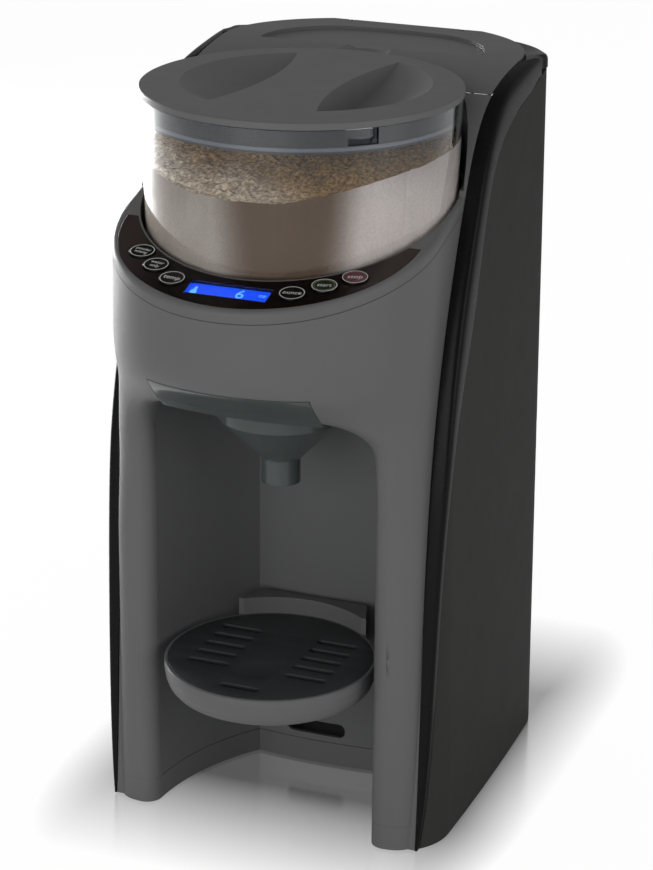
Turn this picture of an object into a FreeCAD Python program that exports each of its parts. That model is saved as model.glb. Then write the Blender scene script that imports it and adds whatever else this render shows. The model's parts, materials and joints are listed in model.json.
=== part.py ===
import FreeCAD, Part
import math
import os

V = FreeCAD.Vector

# Counter-top machine that doses formula powder and warm water into a bottle.
# Millimetres, +Z up, -Y is the front.  The pieces are drawn with the powder container's axis
# on x = 0, y = 0, and save() then moves them so that the origin is the centre of the footprint.

# ---------------------------------------------------------------- driving dimensions
# whole machine
front_reach = 107.0          # container axis to the front of the head
rear_reach = 158.0           # container axis to the back
deck_z = 381.5               # top of the deck
side_clear = 4.0             # front shell beyond the lid's rim, at the ground
side_step = 10.0             # side panels beyond the front shell, at the ground
shell_lean = 0.005           # how much the shell leans in, per unit of height
side_lean = 0.008            # the same for the side panels
side_bow_r = 2300.0          # very slight outward bow of the sides
side_bow_y = 5.0             # where the sides are widest
rear_corner_r = 40.0
rear_bow_r = 220.0
front_corner_r = 30.0
front_corner_y = -25.0
base_seam_z = 13.7           # seam between base and front shell
base_clear = 1.0             # base plate above the ground
back_half_width = 67.7       # rear housing's back between the side panels

# walls and clearances
shell_wall = 2.5
panel_wall = 3.0
liner_wall = 2.5
return_wall = 5.0            # wall round the bottle bay's mouth
seam = 0.3                   # gap between neighbouring housings
slide_gap = 0.35             # gap round a piece that slides
running = 0.05               # radial clearance of a shaft in its bearing

# bottle bay
bay_half_width = 59.6
bay_corner_r = 24.0
bay_edge_r = 8.0             # soft edge round the mouth
bay_back_y = 24.8            # middle of the back wall
bay_back_corner = (33.5, 26.6)
bay_side_middle = (52.6, -8.9)
return_end_y = -45.5         # where the bay's mouth meets its liner

# control panel, a plane that slopes down to the front
panel_slope = 0.2858         # rise per mm towards the back
panel_drop = 53.9            # from the deck down to that plane, over the container axis
collar_height = 5.6          # collar, from the panel plane down to the seam
collar_round = 2.4
panel_thick = 2.4
panel_front_y = -104.0
panel_half_width = 77.0
panel_tip_y = -38.0
panel_shoulder = (56.5, -82.0)
panel_inner_r = 80.6

# powder container and its lid
bowl_height = 105.8
bowl_bottom_r = 76.2
bowl_top_r = 79.3
bowl_wall = 2.2
base_height = 6.0            # disc under the container, down to the well's floor
well_wall = 1.6
lid_proud = 0.3              # lid above the deck
lid_lap = 0.7                # lid's rim beyond the container
lid_edge = 3.6               # thickness of the lid's rim
lid_lift = 0.4               # lid's rim above the container
skirt_height = 15.9          # from the top of the lid to the lower edge of its skirt
skirt_wall = 2.0
lid_gap = 1.6                # deck and shoulders round the lid
grip_half_width = 19.0       # handle bar between the lid's two hollows, at its waist
grip_waist_r = 185.0         # how the bar's sides curve in
grip_reach = 62.3            # outer edge of the hollows
grip_dish_r = 150.0
grip_y = 6.0
lid_floor_depth = 14.0
pin_r = 1.3                  # bayonet pins
pin_drop = 10.3              # below the top of the lid
pin_angle = -42.0
pin_sweep = 10.0             # how far the lid turns to lock, in degrees

# drive
wheel_r = 62.0               # portion wheel on the container's floor
wheel_thick = 6.0
pocket_count = 8
pocket_size = (16.0, 13.0)   # outwards and across
stirrer_r = 70.0
blade_heights = (16.0, 34.0)
gear_module = 1.5
gear_teeth = 48
pinion_teeth = 12
gear_thick = 6.0
gear_drop = 6.5              # underside of the gear below the well's floor
shaft_r = 5.0
hex_across = 9.0

# funnel
funnel_y = -25.2             # axis of the spout
spout_r = 9.9
spout_drop = 56.2            # end of the spout below the flange
cone_drops = (43.3, 20.3)    # ends of the cone below the flange
hopper_r = 33.0
funnel_wall = 1.8
flange_drop = 14.7           # flange below the head's floor
bay_drop = 3.3               # top of the bay's mouth below the flange
flange_thick = 2.0
flange_half_width = 41.4
flange_back_y = 13.0
rail_width = 3.0             # rails of the bay's ceiling, on which the flange slides
lip_thick = 2.0
hopper_clear = 3.5           # slot in that ceiling beside the hopper
plate_half_width = 42.0
plate_rise = 13.3            # front plate above and below the flange
plate_fall = 5.3
plate_thick = 2.4
outlet_y = -50.0             # where the powder drops through
outlet_size = (18.0, 14.0)

# bottle tray
tray_y = -38.3
tray_top_z = 91.2
grille_r = 52.6
grille_thick = 2.4
tray_rim = 2.0
tray_depth = 18.0
slot_pitch = 11.0
slot_inner_x = 15.6
slot_outer_x = 38.0
slot_width = 4.4
slot_first_y = -57.3
dimple_r = 11.5
bracket_half_widths = (36.0, 30.0)
bracket_front_y = 4.0
bracket_back_y = 21.0
bracket_rise = 9.0           # bracket above the tray's top
tongue_end_y = 34.0
tongue_width = 32.5
tongue_thick = 7.2
tongue_round = 3.0
socket_levels = (21.5, 52.0, 82.2)

# water tank and deck
seat_z = 165.0               # top of the rear housing
tank_gap = 2.0
tank_wall = 2.2
tank_rim_drop = 8.5          # tank's rim below the deck
tank_lid_wall = 2.4
valve_stem_r = 4.0
deck_corner_r = 65.0
deck_inset = 1.2             # back of the deck inside the back of the machine
tank_front_y = 52.0
tank_front_r = 87.0          # hollow of the tank's front, round the container
deck_seam_y = 48.0
rim_width = 21.0             # raised border of the deck
rim_drop = 1.6
scoop_reach = 16.0           # finger hollow beside the powder lid
scoop_depth = 4.0
hinge_y = 150.4
hinge_drop = 3.3             # hinge below the deck
rear_edge_y = 140.0          # where the trim's edge comes down to the hinge, so that the lid clears it
trim_gap = 0.15              # between the black trim and the shell
flange_step = 0.6            # front of the shell's side ledge behind the trim's edge
barrel_r = 3.0
pin_wire_r = 1.5
pin_length = 7.5
ear_x = 30.0                 # inner face of the tank's two hinge ears
ear_width = 3.0
ear_gap = 0.4                # between an ear and the lid's barrel

# rest
foot_r = 7.0
foot_peg_r = 2.5
foot_places = ((70.0, -38.0), (62.0, 118.0))
screw_r = 1.5
screw_head_r = 3.0
base_screw_places = ((72.0, -10.0), (72.0, 60.0), (30.0, 128.0))

# buttons, display and control board; depths are below the control panel's plane
button_places = {
    "button_powder_setting": (-55.1, -68.1), "button_water_only": (-43.4, -77.7),
    "button_temperature": (-30.8, -86.9), "button_ounces": (30.8, -86.9),
    "button_start": (43.4, -77.7), "button_stop": (55.1, -68.1)}
cap_width = 13.3
cap_height = 11.5
cap_proud = 1.0
button_travel = 0.8
display_y = -90.3
display_width = 41.4
display_height = 11.0
board_depth = 10.1
board_thick = 1.6
switch_size = 6.0
switch_height = 3.5
board_post_places = ((-67.5, -57.0), (67.5, -57.0), (0.0, -99.6))
board_post_r = 2.2

# head floor, motor and water path
floor_thick = 3.0
bush_r = 8.0
motor_r = 16.0
motor_shaft_r = 2.0
motor_height = 49.0
motor_screw_x = 12.5
shaft_tail = 6.0             # end of the drive shaft below the head's floor
nozzle_place = (-24.0, -38.0)
nozzle_r = 4.0
hose_r = 3.0
hose_bore_r = 1.8
hose_bend_r = 7.0
hose_rise = 4.6              # upper hose above the head's floor plate
hose_x = -45.0
hose_back_y = 40.0
port_bottom_z = 145.0
pump_top_z = 64.0
port_y = 112.0
port_hole_r = 7.0
gland_x = -45.0
gland_z = 34.0
gland_r = 6.2
gland_seat = 2.2             # depth of the flat seat round the lead's bush
pump_place = (34.0, 110.0)
pump_r = 15.0
heater_x = (-58.0, -32.0)
heater_y = (98.0, 120.0)
heater_top_z = 100.0
heater_hose_z = 140.0        # where the hose from the heater turns forward
tank_hose_z = 96.0           # where the hose from the tank turns to the pump
pump_port_z = 40.0
lead_r = 3.6                 # bore of the bush for the mains lead

# ---------------------------------------------------------------- derived
origin_shift = V(0, (front_reach - rear_reach) / 2.0, 0)
far = 500.0                           # reach of the blocks that cut or keep a region

# plan
bore_r = bowl_top_r + seam            # collar round the container
bay_wall_r = bore_r + well_wall + seam
lid_r = bowl_top_r + lid_lap
skirt_r = bowl_top_r - bowl_wall - 0.8
shell_half_width = lid_r + side_clear
base_half_width = shell_half_width + side_step
gear_r = gear_module * gear_teeth / 2.0
pinion_r = gear_module * pinion_teeth / 2.0
motor_y = gear_r + pinion_r

# heights, from the deck down
hinge_z = deck_z - hinge_drop
tank_rim_z = deck_z - tank_rim_drop
panel_z_at_axis = deck_z - panel_drop
lid_top_z = deck_z + lid_proud
lid_under_z = lid_top_z - lid_edge
skirt_bottom_z = lid_top_z - skirt_height
pin_z = lid_top_z - pin_drop
bowl_top_z = lid_under_z - lid_lift
bowl_bottom_z = bowl_top_z - bowl_height
well_floor_z = bowl_bottom_z - base_height
gear_z = well_floor_z - gear_drop
floor_top_z = gear_z - 2.5            # top of the head's floor plate
floor_z = floor_top_z - floor_thick
hose_z = floor_top_z + hose_rise
shaft_bottom_z = floor_z - shaft_tail
motor_bottom_z = floor_z - motor_height
flange_z = floor_z - flange_drop
cone_bottom_z, cone_top_z = (flange_z - drop for drop in cone_drops)
spout_bottom_z = flange_z - spout_drop
plate_top_z = flange_z + plate_rise
plate_bottom_z = flange_z - plate_fall
bay_top_z = flange_z - bay_drop
panel_normal = V(0, -panel_slope, 1).normalize()

# the shell's side edge, as (y, z) from the ground to the deck
shell_edge = [(-49.2, 0.0), (-40.3, 0.59 * bay_top_z), (-28.5, bay_top_z - 12.1),
              (-12.5, bay_top_z + 42.1), (10.0, deck_z - 51.2), (23.0, deck_z - 28.1),
              (40.1, deck_z - 12.1), (67.8, deck_z - 3.1), (90.9, deck_z - 0.3)]
# the side panel's front edge, beside the same stations
panel_edge = [(-46.0, 0.0), (-35.2, 0.58 * bay_top_z), (-20.8, bay_top_z - 14.8),
              (0.9, bay_top_z + 37.7), (20.6, deck_z - 54.5), (35.0, deck_z - 34.0),
              (50.0, deck_z - 24.7), (72.0, deck_z - 17.7), (108.0, deck_z - 10.5)]
back_edge = (rear_reach, deck_z - 4.5)        # where that edge meets the middle of the back
back_rise = (back_edge[1] - panel_edge[-1][1]) / (back_edge[0] - panel_edge[-1][0])
# the columns and head: height, front, radius of the front, radius of the corners
shell_table = [(bay_top_z - 86.0, -57.0, 600.0, 14.0), (bay_top_z - 51.0, -58.5, 480.0, 18.0),
               (bay_top_z - 21.0, -66.0, 300.0, 26.0), (bay_top_z, -81.5, 176.0, 48.0),
               (bay_top_z + 18.0, 4.0 - front_reach, 110.0, 76.0),
               (bay_top_z + 32.0, -front_reach, 97.0, 79.5), (bay_top_z + 46.0, -front_reach, 94.0, 80.5)]
shell_steps = 26             # sections of the head's smooth form
trim_steps = 30              # sections of each side's black trim


# ---------------------------------------------------------------- helpers
def box(x0, x1, y0, y1, z0, z1):
    return Part.makeBox(x1 - x0, y1 - y0, z1 - z0, V(x0, y0, z0))


def cyl(r, z0, z1, x=0.0, y=0.0):
    return Part.makeCylinder(r, z1 - z0, V(x, y, z0))


def cyl_x(r, x0, x1, y, z):
    return Part.makeCylinder(r, x1 - x0, V(x0, y, z), V(1, 0, 0))


def cyl_y(r, y0, y1, x, z):
    return Part.makeCylinder(r, y1 - y0, V(x, y0, z), V(0, 1, 0))


def ring(r_out, r_in, z0, z1, x=0.0, y=0.0):
    return cyl(r_out, z0, z1, x, y).cut(cyl(r_in, z0 - 1, z1 + 1, x, y))


def prism(points, z0, z1):
    """Straight-sided plan outline between two heights."""
    corners = [V(x, y, z0) for x, y in points]
    return Part.Face(Part.makePolygon(corners + corners[:1])).extrude(V(0, 0, z1 - z0))


def prism_x(points, x0, x1):
    """Side outline of (y, z) points between two x values."""
    corners = [V(x0, y, z) for y, z in points]
    return Part.Face(Part.makePolygon(corners + corners[:1])).extrude(V(x1 - x0, 0, 0))


def revolve(points, x=0.0, y=0.0):
    """Profile of (radius, z) points turned round a vertical axis."""
    corners = [V(x + r, y, z) for r, z in points]
    face = Part.Face(Part.makePolygon(corners + corners[:1]))
    return face.revolve(V(x, y, 0), V(0, 0, 1), 360)


def spline(points, closed=False):
    curve = Part.BSplineCurve()
    curve.interpolate(points, PeriodicFlag=closed)
    return curve


def fuse(shapes):
    whole = shapes[0].multiFuse(shapes[1:]) if len(shapes) > 1 else shapes[0]
    return whole.removeSplitter()


def mirrored(shape):
    return shape.mirror(V(0, 0, 0), V(1, 0, 0))


def both_sides(shape):
    return Part.makeCompound([shape, mirrored(shape)])


def save(name, shape):
    """Write one node, moved so that the origin is the middle of the footprint."""
    moved = shape.copy()
    moved.translate(origin_shift)
    moved.exportStep("parts/%s.step" % name)


def half_width_at(z):
    return base_half_width - side_lean * z


def shell_half_at(z):
    return shell_half_width - shell_lean * z


def deck_half():
    return shell_half_at(deck_z)


def table_at(table, z):
    """Row of a table at a height, blended smoothly and without overshoot between its rows."""
    if z <= table[0][0]:
        return table[0][1:]
    if z >= table[-1][0]:
        return table[-1][1:]
    heights = [row[0] for row in table]
    values = []
    for column in range(1, len(table[0])):
        rise = [(b[column] - a[column]) / (b[0] - a[0]) for a, b in zip(table, table[1:])]
        slopes = [0.0]
        for left, right in zip(rise, rise[1:]):
            slopes.append(2 * left * right / (left + right) if left * right > 0 else 0.0)
        slopes.append(0.0)
        k = max(i for i, height in enumerate(heights[:-1]) if height <= z)
        span = heights[k + 1] - heights[k]
        t = (z - heights[k]) / span
        values.append((1 + 2 * t) * (1 - t) ** 2 * table[k][column] + t * (1 - t) ** 2 * span * slopes[k]
                      + t * t * (3 - 2 * t) * table[k + 1][column] + t * t * (t - 1) * span * slopes[k + 1])
    return values


def between(center, radius, start, end):
    """Arc round a centre from one point to another, the short way."""
    middle = center + ((start - center) + (end - center)).normalize() * radius
    return Part.Arc(start, middle, end).toShape()


def outer_outline(inset, z):
    """Plan of the whole machine at the side panels: bowed sides and back, round corners."""
    bow, back = side_bow_r - inset, rear_bow_r - inset
    corner, front = rear_corner_r - inset, front_corner_r - inset
    side_center = V(half_width_at(z) - side_bow_r, side_bow_y, z)
    back_center = V(0, rear_reach - rear_bow_r, z)
    reach_side, reach_back = side_bow_r - rear_corner_r, rear_bow_r - rear_corner_r
    span = back_center - side_center
    along = (reach_side ** 2 - reach_back ** 2 + span.Length ** 2) / (2 * span.Length)
    off = math.sqrt(reach_side ** 2 - along ** 2)
    unit = V(span).normalize()
    corner_center = side_center + unit * along + V(-unit.y, unit.x, 0) * off
    front_x = side_center.x + math.sqrt((side_bow_r - front_corner_r) ** 2
                                        - (front_corner_y - side_bow_y) ** 2)
    front_center = V(front_x, front_corner_y, z)
    p_front = V(front_x, front_corner_y - front, z)
    p_side_low = side_center + V(front_center - side_center).normalize() * bow
    p_side_high = side_center + V(corner_center - side_center).normalize() * bow
    p_back = back_center + V(corner_center - back_center).normalize() * back
    right = [between(front_center, front, p_front, p_side_low),
             between(side_center, bow, p_side_low, p_side_high),
             between(corner_center, corner, p_side_high, p_back)]
    left = [edge.mirror(V(0, 0, 0), V(1, 0, 0)) for edge in right]
    rear = Part.Arc(p_back, V(0, rear_reach - inset, z), V(-p_back.x, p_back.y, z)).toShape()
    across = Part.makeLine(V(-p_front.x, p_front.y, z), p_front)
    return Part.Wire(Part.sortEdges([across] + right + [rear] + left)[0])


def outer_block(inset, z0, z1):
    """The machine's whole outline at the side panels, drawn in by an inset."""
    return Part.makeLoft([outer_outline(inset, z0), outer_outline(inset, z1)], True, True)


def panel_x(y, z):
    """Outside of a side panel at a place on its front or side."""
    side_x = half_width_at(z) - side_bow_r
    corner_x = side_x + math.sqrt((side_bow_r - front_corner_r) ** 2 - (front_corner_y - side_bow_y) ** 2)
    if y < front_corner_y:
        return corner_x + math.sqrt(front_corner_r ** 2 - (y - front_corner_y) ** 2)
    return side_x + math.sqrt(side_bow_r ** 2 - (y - side_bow_y) ** 2)


def head_outline(inset, back_y, z):
    front, front_r, corner_r = table_at(shell_table, z)
    width = shell_half_at(z) - inset
    center = V(0, front + front_r, z)
    corner_x = shell_half_at(z) - corner_r
    corner = V(corner_x, center.y - math.sqrt((front_r - corner_r) ** 2 - corner_x ** 2), z)
    p_front = center + V(corner - center).normalize() * (front_r - inset)
    p_side = V(width, corner.y, z)
    far = V(width, back_y, z)
    left = [V(-p.x, p.y, z) for p in (p_front, p_side, far)]
    bulge = Part.Arc(left[0], V(0, front + inset, z), p_front).toShape()
    turn = between(corner, corner_r - inset, p_front, p_side)
    edges = [bulge, turn, Part.makeLine(p_side, far), Part.makeLine(far, left[2]),
             Part.makeLine(left[2], left[1]), turn.mirror(V(0, 0, 0), V(1, 0, 0))]
    return Part.Wire(Part.sortEdges(edges)[0])


def head_block(inset, back_y, z0=base_seam_z, z1=deck_z + 5):
    """Columns and head as one closed form, drawn in by an inset."""
    sections = [head_outline(inset, back_y, z0 + (z1 - z0) * k / shell_steps)
                for k in range(shell_steps + 1)]
    return Part.makeLoft(sections, True)


def profile_prism(edge, half_width, slope=0.0):
    """Everything under a side profile of (y, z) points, which runs on straight to the back."""
    x0 = -half_width
    curve = spline([V(x0, y, z) for y, z in edge]).toShape()
    first, last = edge[0], edge[-1]
    far_y = rear_reach + 40.0
    far_z = last[1] + slope * (far_y - last[0])
    loop = [V(x0, last[0], last[1]), V(x0, far_y, far_z), V(x0, far_y, -20), V(x0, first[0], -20),
            V(x0, first[0], first[1])]
    edges = [curve] + [Part.makeLine(a, b) for a, b in zip(loop, loop[1:])]
    return Part.Face(Part.Wire(edges)).extrude(V(2 * half_width, 0, 0))


def panel_plane_z(y):
    return panel_z_at_axis + panel_slope * y


def under_panel_plane(depth, y_back=far):
    """Everything more than a depth below the control panel's plane."""
    drop = depth / panel_normal.z
    return prism_x([(-far, -20), (y_back, -20), (y_back, panel_plane_z(y_back) - drop),
                    (-far, panel_plane_z(-far) - drop)], -far, far)


def on_panel(shape, x, y, depth=0.0):
    """Put a shape drawn round the origin onto the panel's plane."""
    placed = shape.copy()
    placed.rotate(V(0, 0, 0), V(1, 0, 0), math.degrees(math.atan(panel_slope)))
    placed.translate(V(x, y, panel_plane_z(y)) - panel_normal * depth)
    return placed


def oval(a, b, z0, z1):
    """Upright oval cylinder round the origin."""
    big, small = max(a, b), min(a, b)
    edge = Part.Ellipse(V(0, 0, z0), big, small).toShape()
    solid = Part.Face(Part.Wire(edge)).extrude(V(0, 0, z1 - z0))
    if b > a:
        solid.rotate(V(0, 0, 0), V(0, 0, 1), 90)
    return solid


def gear(teeth, thickness, z, x, y, turn):
    """Spur gear with tapered teeth, the first centred on the given angle."""
    pitch_r = gear_module * teeth / 2.0
    step = 2 * math.pi / teeth
    tip_r = pitch_r + 0.9 * gear_module
    root_r = pitch_r - 1.15 * gear_module
    outline = []
    for tooth in range(teeth):
        middle = math.radians(turn) + tooth * step
        for radius, share in ((root_r, -0.33), (tip_r, -0.13), (tip_r, 0.13), (root_r, 0.33)):
            angle = middle + share * step
            outline.append((x + radius * math.cos(angle), y + radius * math.sin(angle)))
    return prism(outline, z, z + thickness)


def hexagon(across, z0, z1):
    corner = across / math.sqrt(3)
    points = [(corner * math.cos(math.radians(60 * k)), corner * math.sin(math.radians(60 * k)))
              for k in range(6)]
    return prism(points, z0, z1)


def hose_end(at, along):
    """Ring-shaped end face of a hose."""
    outer, inner = (Part.Face(Part.Wire(Part.Circle(at, along, r).toShape())) for r in (hose_r, hose_bore_r))
    return outer.cut(inner).Faces[0]


def hose(route):
    """Hose along straight runs joined by arcs of one bend radius."""
    pieces = []
    at = route[0]
    for before, corner, after in zip(route, route[1:], route[2:]):
        arrive = (corner - before).normalize()
        leave = (after - corner).normalize()
        turn = arrive.getAngle(leave)
        start = corner - arrive * hose_bend_r * math.tan(turn / 2)
        pieces.append(hose_end(at, arrive).extrude(start - at))
        inward = (leave - arrive * arrive.dot(leave)).normalize()
        pieces.append(hose_end(start, arrive).revolve(start + inward * hose_bend_r, arrive.cross(leave),
                                                      math.degrees(turn)))
        at = corner + leave * hose_bend_r * math.tan(turn / 2)
    pieces.append(hose_end(at, route[-1] - at).extrude(route[-1] - at))
    return fuse(pieces)


# ---------------------------------------------------------------- bottle bay plan
def bay_plan(grow, front_y, z0, z1):
    """Plan of the bottle bay, open to the front."""
    corner = V(bay_back_corner[0] + grow, bay_back_corner[1] + grow, z0)
    left = V(-corner.x, corner.y, z0)
    mouth = V(bay_half_width + grow, return_end_y, z0)
    side = V(bay_side_middle[0] + grow, bay_side_middle[1], z0)
    front = V(mouth.x, front_y, z0)
    edges = [Part.makeLine(V(-front.x, front_y, z0), front), Part.makeLine(front, mouth),
             Part.Arc(mouth, side, corner).toShape(),
             Part.Arc(corner, V(0, bay_back_y + grow, z0), left).toShape(),
             Part.Arc(left, V(-side.x, side.y, z0), V(-mouth.x, mouth.y, z0)).toShape(),
             Part.makeLine(V(-mouth.x, mouth.y, z0), V(-front.x, front_y, z0))]
    return Part.Face(Part.Wire(edges)).extrude(V(0, 0, z1 - z0))


def bay_mouth(grow, y0, y1):
    """The arched mouth of the bay, as seen from the front."""
    half = bay_half_width + grow
    top = bay_top_z + grow
    mouth = box(-half, half, y0, y1, -30, top)
    edges = [e for e in mouth.Edges
             if abs(abs(e.CenterOfMass.x) - half) < 0.01 and abs(e.CenterOfMass.z - top) < 0.01]
    return mouth.makeFillet(bay_corner_r + grow, edges)


def plate_gap(grow):
    """Opening in the head for the funnel's front plate."""
    half = plate_half_width + grow
    return box(-half, half, -far, return_end_y + 1.0, plate_bottom_z - 20, plate_top_z + grow)


# ---------------------------------------------------------------- housings
def side_flange(z0, z1):
    """Narrow ledge on the shell's side, against which the black trim lies."""
    root_x = bay_half_width + 2 * return_wall
    corners = [V(root_x, 0, z0), V(shell_half_at(z0), 0, z0), V(shell_half_at(z1), 0, z1), V(root_x, 0, z1)]
    slab = Part.Face(Part.makePolygon(corners + corners[:1])).extrude(V(0, -far, 0))
    edge = profile_prism(shell_edge, far)
    edge.translate(V(0, flange_step, 0))
    return both_sides(slab.common(edge))


def make_front_housing():
    seam_cut = under_panel_plane(collar_height + seam)
    outside = head_block(0.0, deck_seam_y).fuse(side_flange(base_seam_z, bay_top_z)).common(seam_cut)
    outside = outside.cut(bay_mouth(0.0, -far, far))
    mouth_edges = []
    for edge in outside.Edges:
        middle = edge.CenterOfMass
        on_side = abs(abs(middle.x) - bay_half_width) < 0.2 and middle.z < bay_top_z - bay_corner_r
        on_arch = abs(middle.x) < bay_half_width and abs(middle.z - bay_top_z) < bay_corner_r
        if (on_side or on_arch) and middle.y < -30 and middle.z < bay_top_z + 0.2:
            mouth_edges.append(edge)
    outside = outside.makeFillet(bay_edge_r, mouth_edges)
    inside = head_block(shell_wall, deck_seam_y + 5).cut(bay_mouth(return_wall, -far, return_end_y))
    shell = outside.cut(inside).cut(cyl(bay_wall_r, well_floor_z - seam, far))
    lower = box(-bay_half_width - return_wall, bay_half_width + return_wall, return_end_y, far,
                0, bay_top_z + return_wall)
    return shell.cut(lower).cut(plate_gap(slide_gap))


def make_upper_housing():
    collar = head_block(0.0, deck_seam_y - seam).cut(under_panel_plane(collar_height))
    shoulder_y = shell_edge[4][0]
    shoulder = [(shoulder_y, panel_plane_z(shoulder_y) + 0.2)] + shell_edge[5:]
    collar = collar.common(under_panel_plane(0.0, shoulder_y + 0.6).fuse(profile_prism(shoulder, far)))
    rim = [edge for edge in collar.Edges if edge.CenterOfMass.y < shoulder_y - 1.0
           and all(abs(p.z - panel_plane_z(p.y)) < 0.05 for p in edge.discretize(5))]
    collar = collar.makeFillet(collar_round, rim)
    lid_bore = cyl(lid_r + lid_gap, panel_plane_z(shoulder_y) + 3, far)
    collar = collar.cut(cyl(bore_r, floor_z, far)).cut(lid_bore)
    cavity = head_block(shell_wall, -2.0).common(under_panel_plane(panel_thick + 2.4))
    collar = collar.cut(cavity.cut(cyl(bore_r + shell_wall, floor_z, far)))
    recess = panel_plan(slide_gap / 2).cut(under_panel_plane(panel_thick + 0.1))
    window = panel_plan(-0.8).cut(under_panel_plane(collar_height + 6))
    return collar.cut(recess).cut(window)


def panel_plan(grow):
    """Upright prism over the control panel's outline."""
    z0, z1 = floor_z, deck_z - lid_edge
    tip = V(panel_half_width + grow, panel_tip_y, z0)
    front = V(0, panel_front_y - grow, z0)
    shoulder = V(panel_shoulder[0] + 0.8 * grow, panel_shoulder[1] - 0.6 * grow, z0)
    left = [V(-shoulder.x, shoulder.y, z0), V(-tip.x, tip.y, z0)]
    curve = spline([left[1], left[0], front, shoulder, tip]).toShape()
    plan = Part.Face(Part.Wire([curve, Part.makeLine(tip, left[1])])).extrude(V(0, 0, z1 - z0))
    return plan.cut(cyl(panel_inner_r - grow, z0 - 5, z1 + 5))


def beside_shell(gap, y0, y1):
    """Region beyond the right side of the shell, whose side leans in."""
    corners = [V(shell_half_at(z) + gap, y0, z) for z in (-5.0, far)] + [V(far, y0, far), V(far, y0, -5.0)]
    return Part.Face(Part.makePolygon(corners + corners[:1])).extrude(V(0, y1 - y0, 0))


def make_side_panel():
    shell = outer_block(0.0, base_clear, deck_z).cut(outer_block(panel_wall, 0.0, deck_z + 1.0))
    side = beside_shell(0.2, -far, panel_edge[-1][0])
    corner = box(back_half_width + seam, far, panel_edge[-1][0] - 4.0, far, -5, far)
    top = profile_prism(panel_edge, far, back_rise)
    top.translate(V(0, 0, -seam))
    return shell.common(side.fuse(corner)).common(top)


def trim_section(inner, outer, turn):
    """Cross-section of the black trim: out from its inner edge, over a round crown and down."""
    crest = V(outer.x, inner.y + (outer.y - inner.y) * turn, inner.z)
    low = inner + outer - crest
    crown = Part.BezierCurve()
    crown.setPoles([inner, crest, crest, outer])
    return Part.Wire([crown.toShape(), Part.makeLine(outer, low), Part.makeLine(low, inner)])


def stations(edge):
    """Evenly spaced (y, z) points along a smooth edge."""
    return [(p.y, p.z) for p in spline([V(0, y, z) for y, z in edge]).discretize(trim_steps)]


def make_side_trim():
    sections = []
    for k, ((y, z), (low_y, low_z)) in enumerate(zip(stations(shell_edge), stations(panel_edge))):
        turn = max(0.0, (k + 4 - trim_steps) / 3.0)
        sections.append(trim_section(V(shell_half_at(z) + trim_gap, y, z),
                                     V(panel_x(low_y, low_z), low_y, low_z), turn))
    return Part.makeLoft(sections, True).common(box(0, far, -far, far, base_clear, far))


def make_rear_trim():
    """Black edge round the back of the deck, from one side trim to the other."""
    corner_x = deck_half() + trim_gap - deck_corner_r
    inner = round_the_back(corner_x, deck_corner_r, rear_reach - deck_inset)
    first_x = panel_x(*panel_edge[-1])
    outer = round_the_back(first_x - rear_corner_r, rear_corner_r, rear_reach)
    outer[0] = V(first_x, panel_edge[-1][0], 0)
    sections = []
    for near, away in zip(inner, outer):
        share = min(1.0, max(0.0, (near.y - inner[0].y) / (rear_edge_y - inner[0].y)))
        near.z = shell_edge[-1][1] + (hinge_z - shell_edge[-1][1]) * (1 - math.cos(math.pi * share)) / 2
        away.z = back_edge[1] - back_rise * (rear_reach - away.y)
        sections.append(trim_section(near, away, 1.0))
    half = Part.makeLoft(sections, True)
    strip = deck_plan(-trim_gap - 0.05, back_edge[1] - 3.0, hinge_z - 0.1)
    strip = strip.cut(box(-far, far, -far, hinge_y + 1.0, 0, far))
    strip = strip.cut(tank_body(-slide_gap, 0, far))
    hinge_reach = ear_x + ear_width + 1.0
    strip = strip.cut(box(-hinge_reach, hinge_reach, -far, hinge_y + barrel_r + 0.5, 0, far))
    return fuse([half, mirrored(half), strip])


def round_the_back(corner_x, corner_r, back):
    """Points along a rear corner and the bowed back, ending in the middle."""
    center = V(0, back - rear_bow_r, 0)
    corner = V(corner_x, center.y + math.sqrt((rear_bow_r - corner_r) ** 2 - corner_x ** 2), 0)
    full = math.atan2(corner.y - center.y, corner.x)
    points = [corner + V(math.cos(full * k / 6), math.sin(full * k / 6), 0) * corner_r for k in range(7)]
    for k in range(1, 5):
        a = full + (math.pi / 2 - full) * k / 4
        points.append(center + V(math.cos(a), math.sin(a), 0) * rear_bow_r)
    return points


def make_bay_liner():
    ceiling_z = bay_top_z + 0.5
    top_z = ceiling_z + liner_wall
    walls = bay_plan(liner_wall, -far, base_seam_z + seam, top_z)
    walls = walls.cut(bay_plan(0.0, -far - 10.0, 0, top_z + 10))
    walls = walls.common(box(-far, far, return_end_y + seam, far, 0, far))
    ceiling = bay_plan(0.0, -far, ceiling_z, top_z)
    lip_z = flange_z + flange_thick + slide_gap
    rail_end_y = flange_back_y + 0.5
    rail = box(flange_half_width + slide_gap, flange_half_width + rail_width, return_end_y, rail_end_y,
               ceiling_z + 1.5, lip_z + lip_thick)
    lip = box(flange_half_width - rail_width, flange_half_width + 1, return_end_y, rail_end_y,
              lip_z, lip_z + lip_thick)
    ceiling = ceiling.fuse([rail, lip, mirrored(rail), mirrored(lip)])
    ceiling = ceiling.common(box(-far, far, return_end_y + seam, far, 0, far))
    slot_half = hopper_r + hopper_clear
    ceiling = ceiling.cut(box(-slot_half, slot_half, -far, funnel_y, 0, far))
    ceiling = ceiling.cut(cyl(slot_half, 0, far, 0, funnel_y))
    liner = fuse([walls, ceiling])
    return liner.cut([tongue_bar(slide_gap, 10.0, tongue_end_y + 6.0, z) for z in socket_levels])


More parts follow.
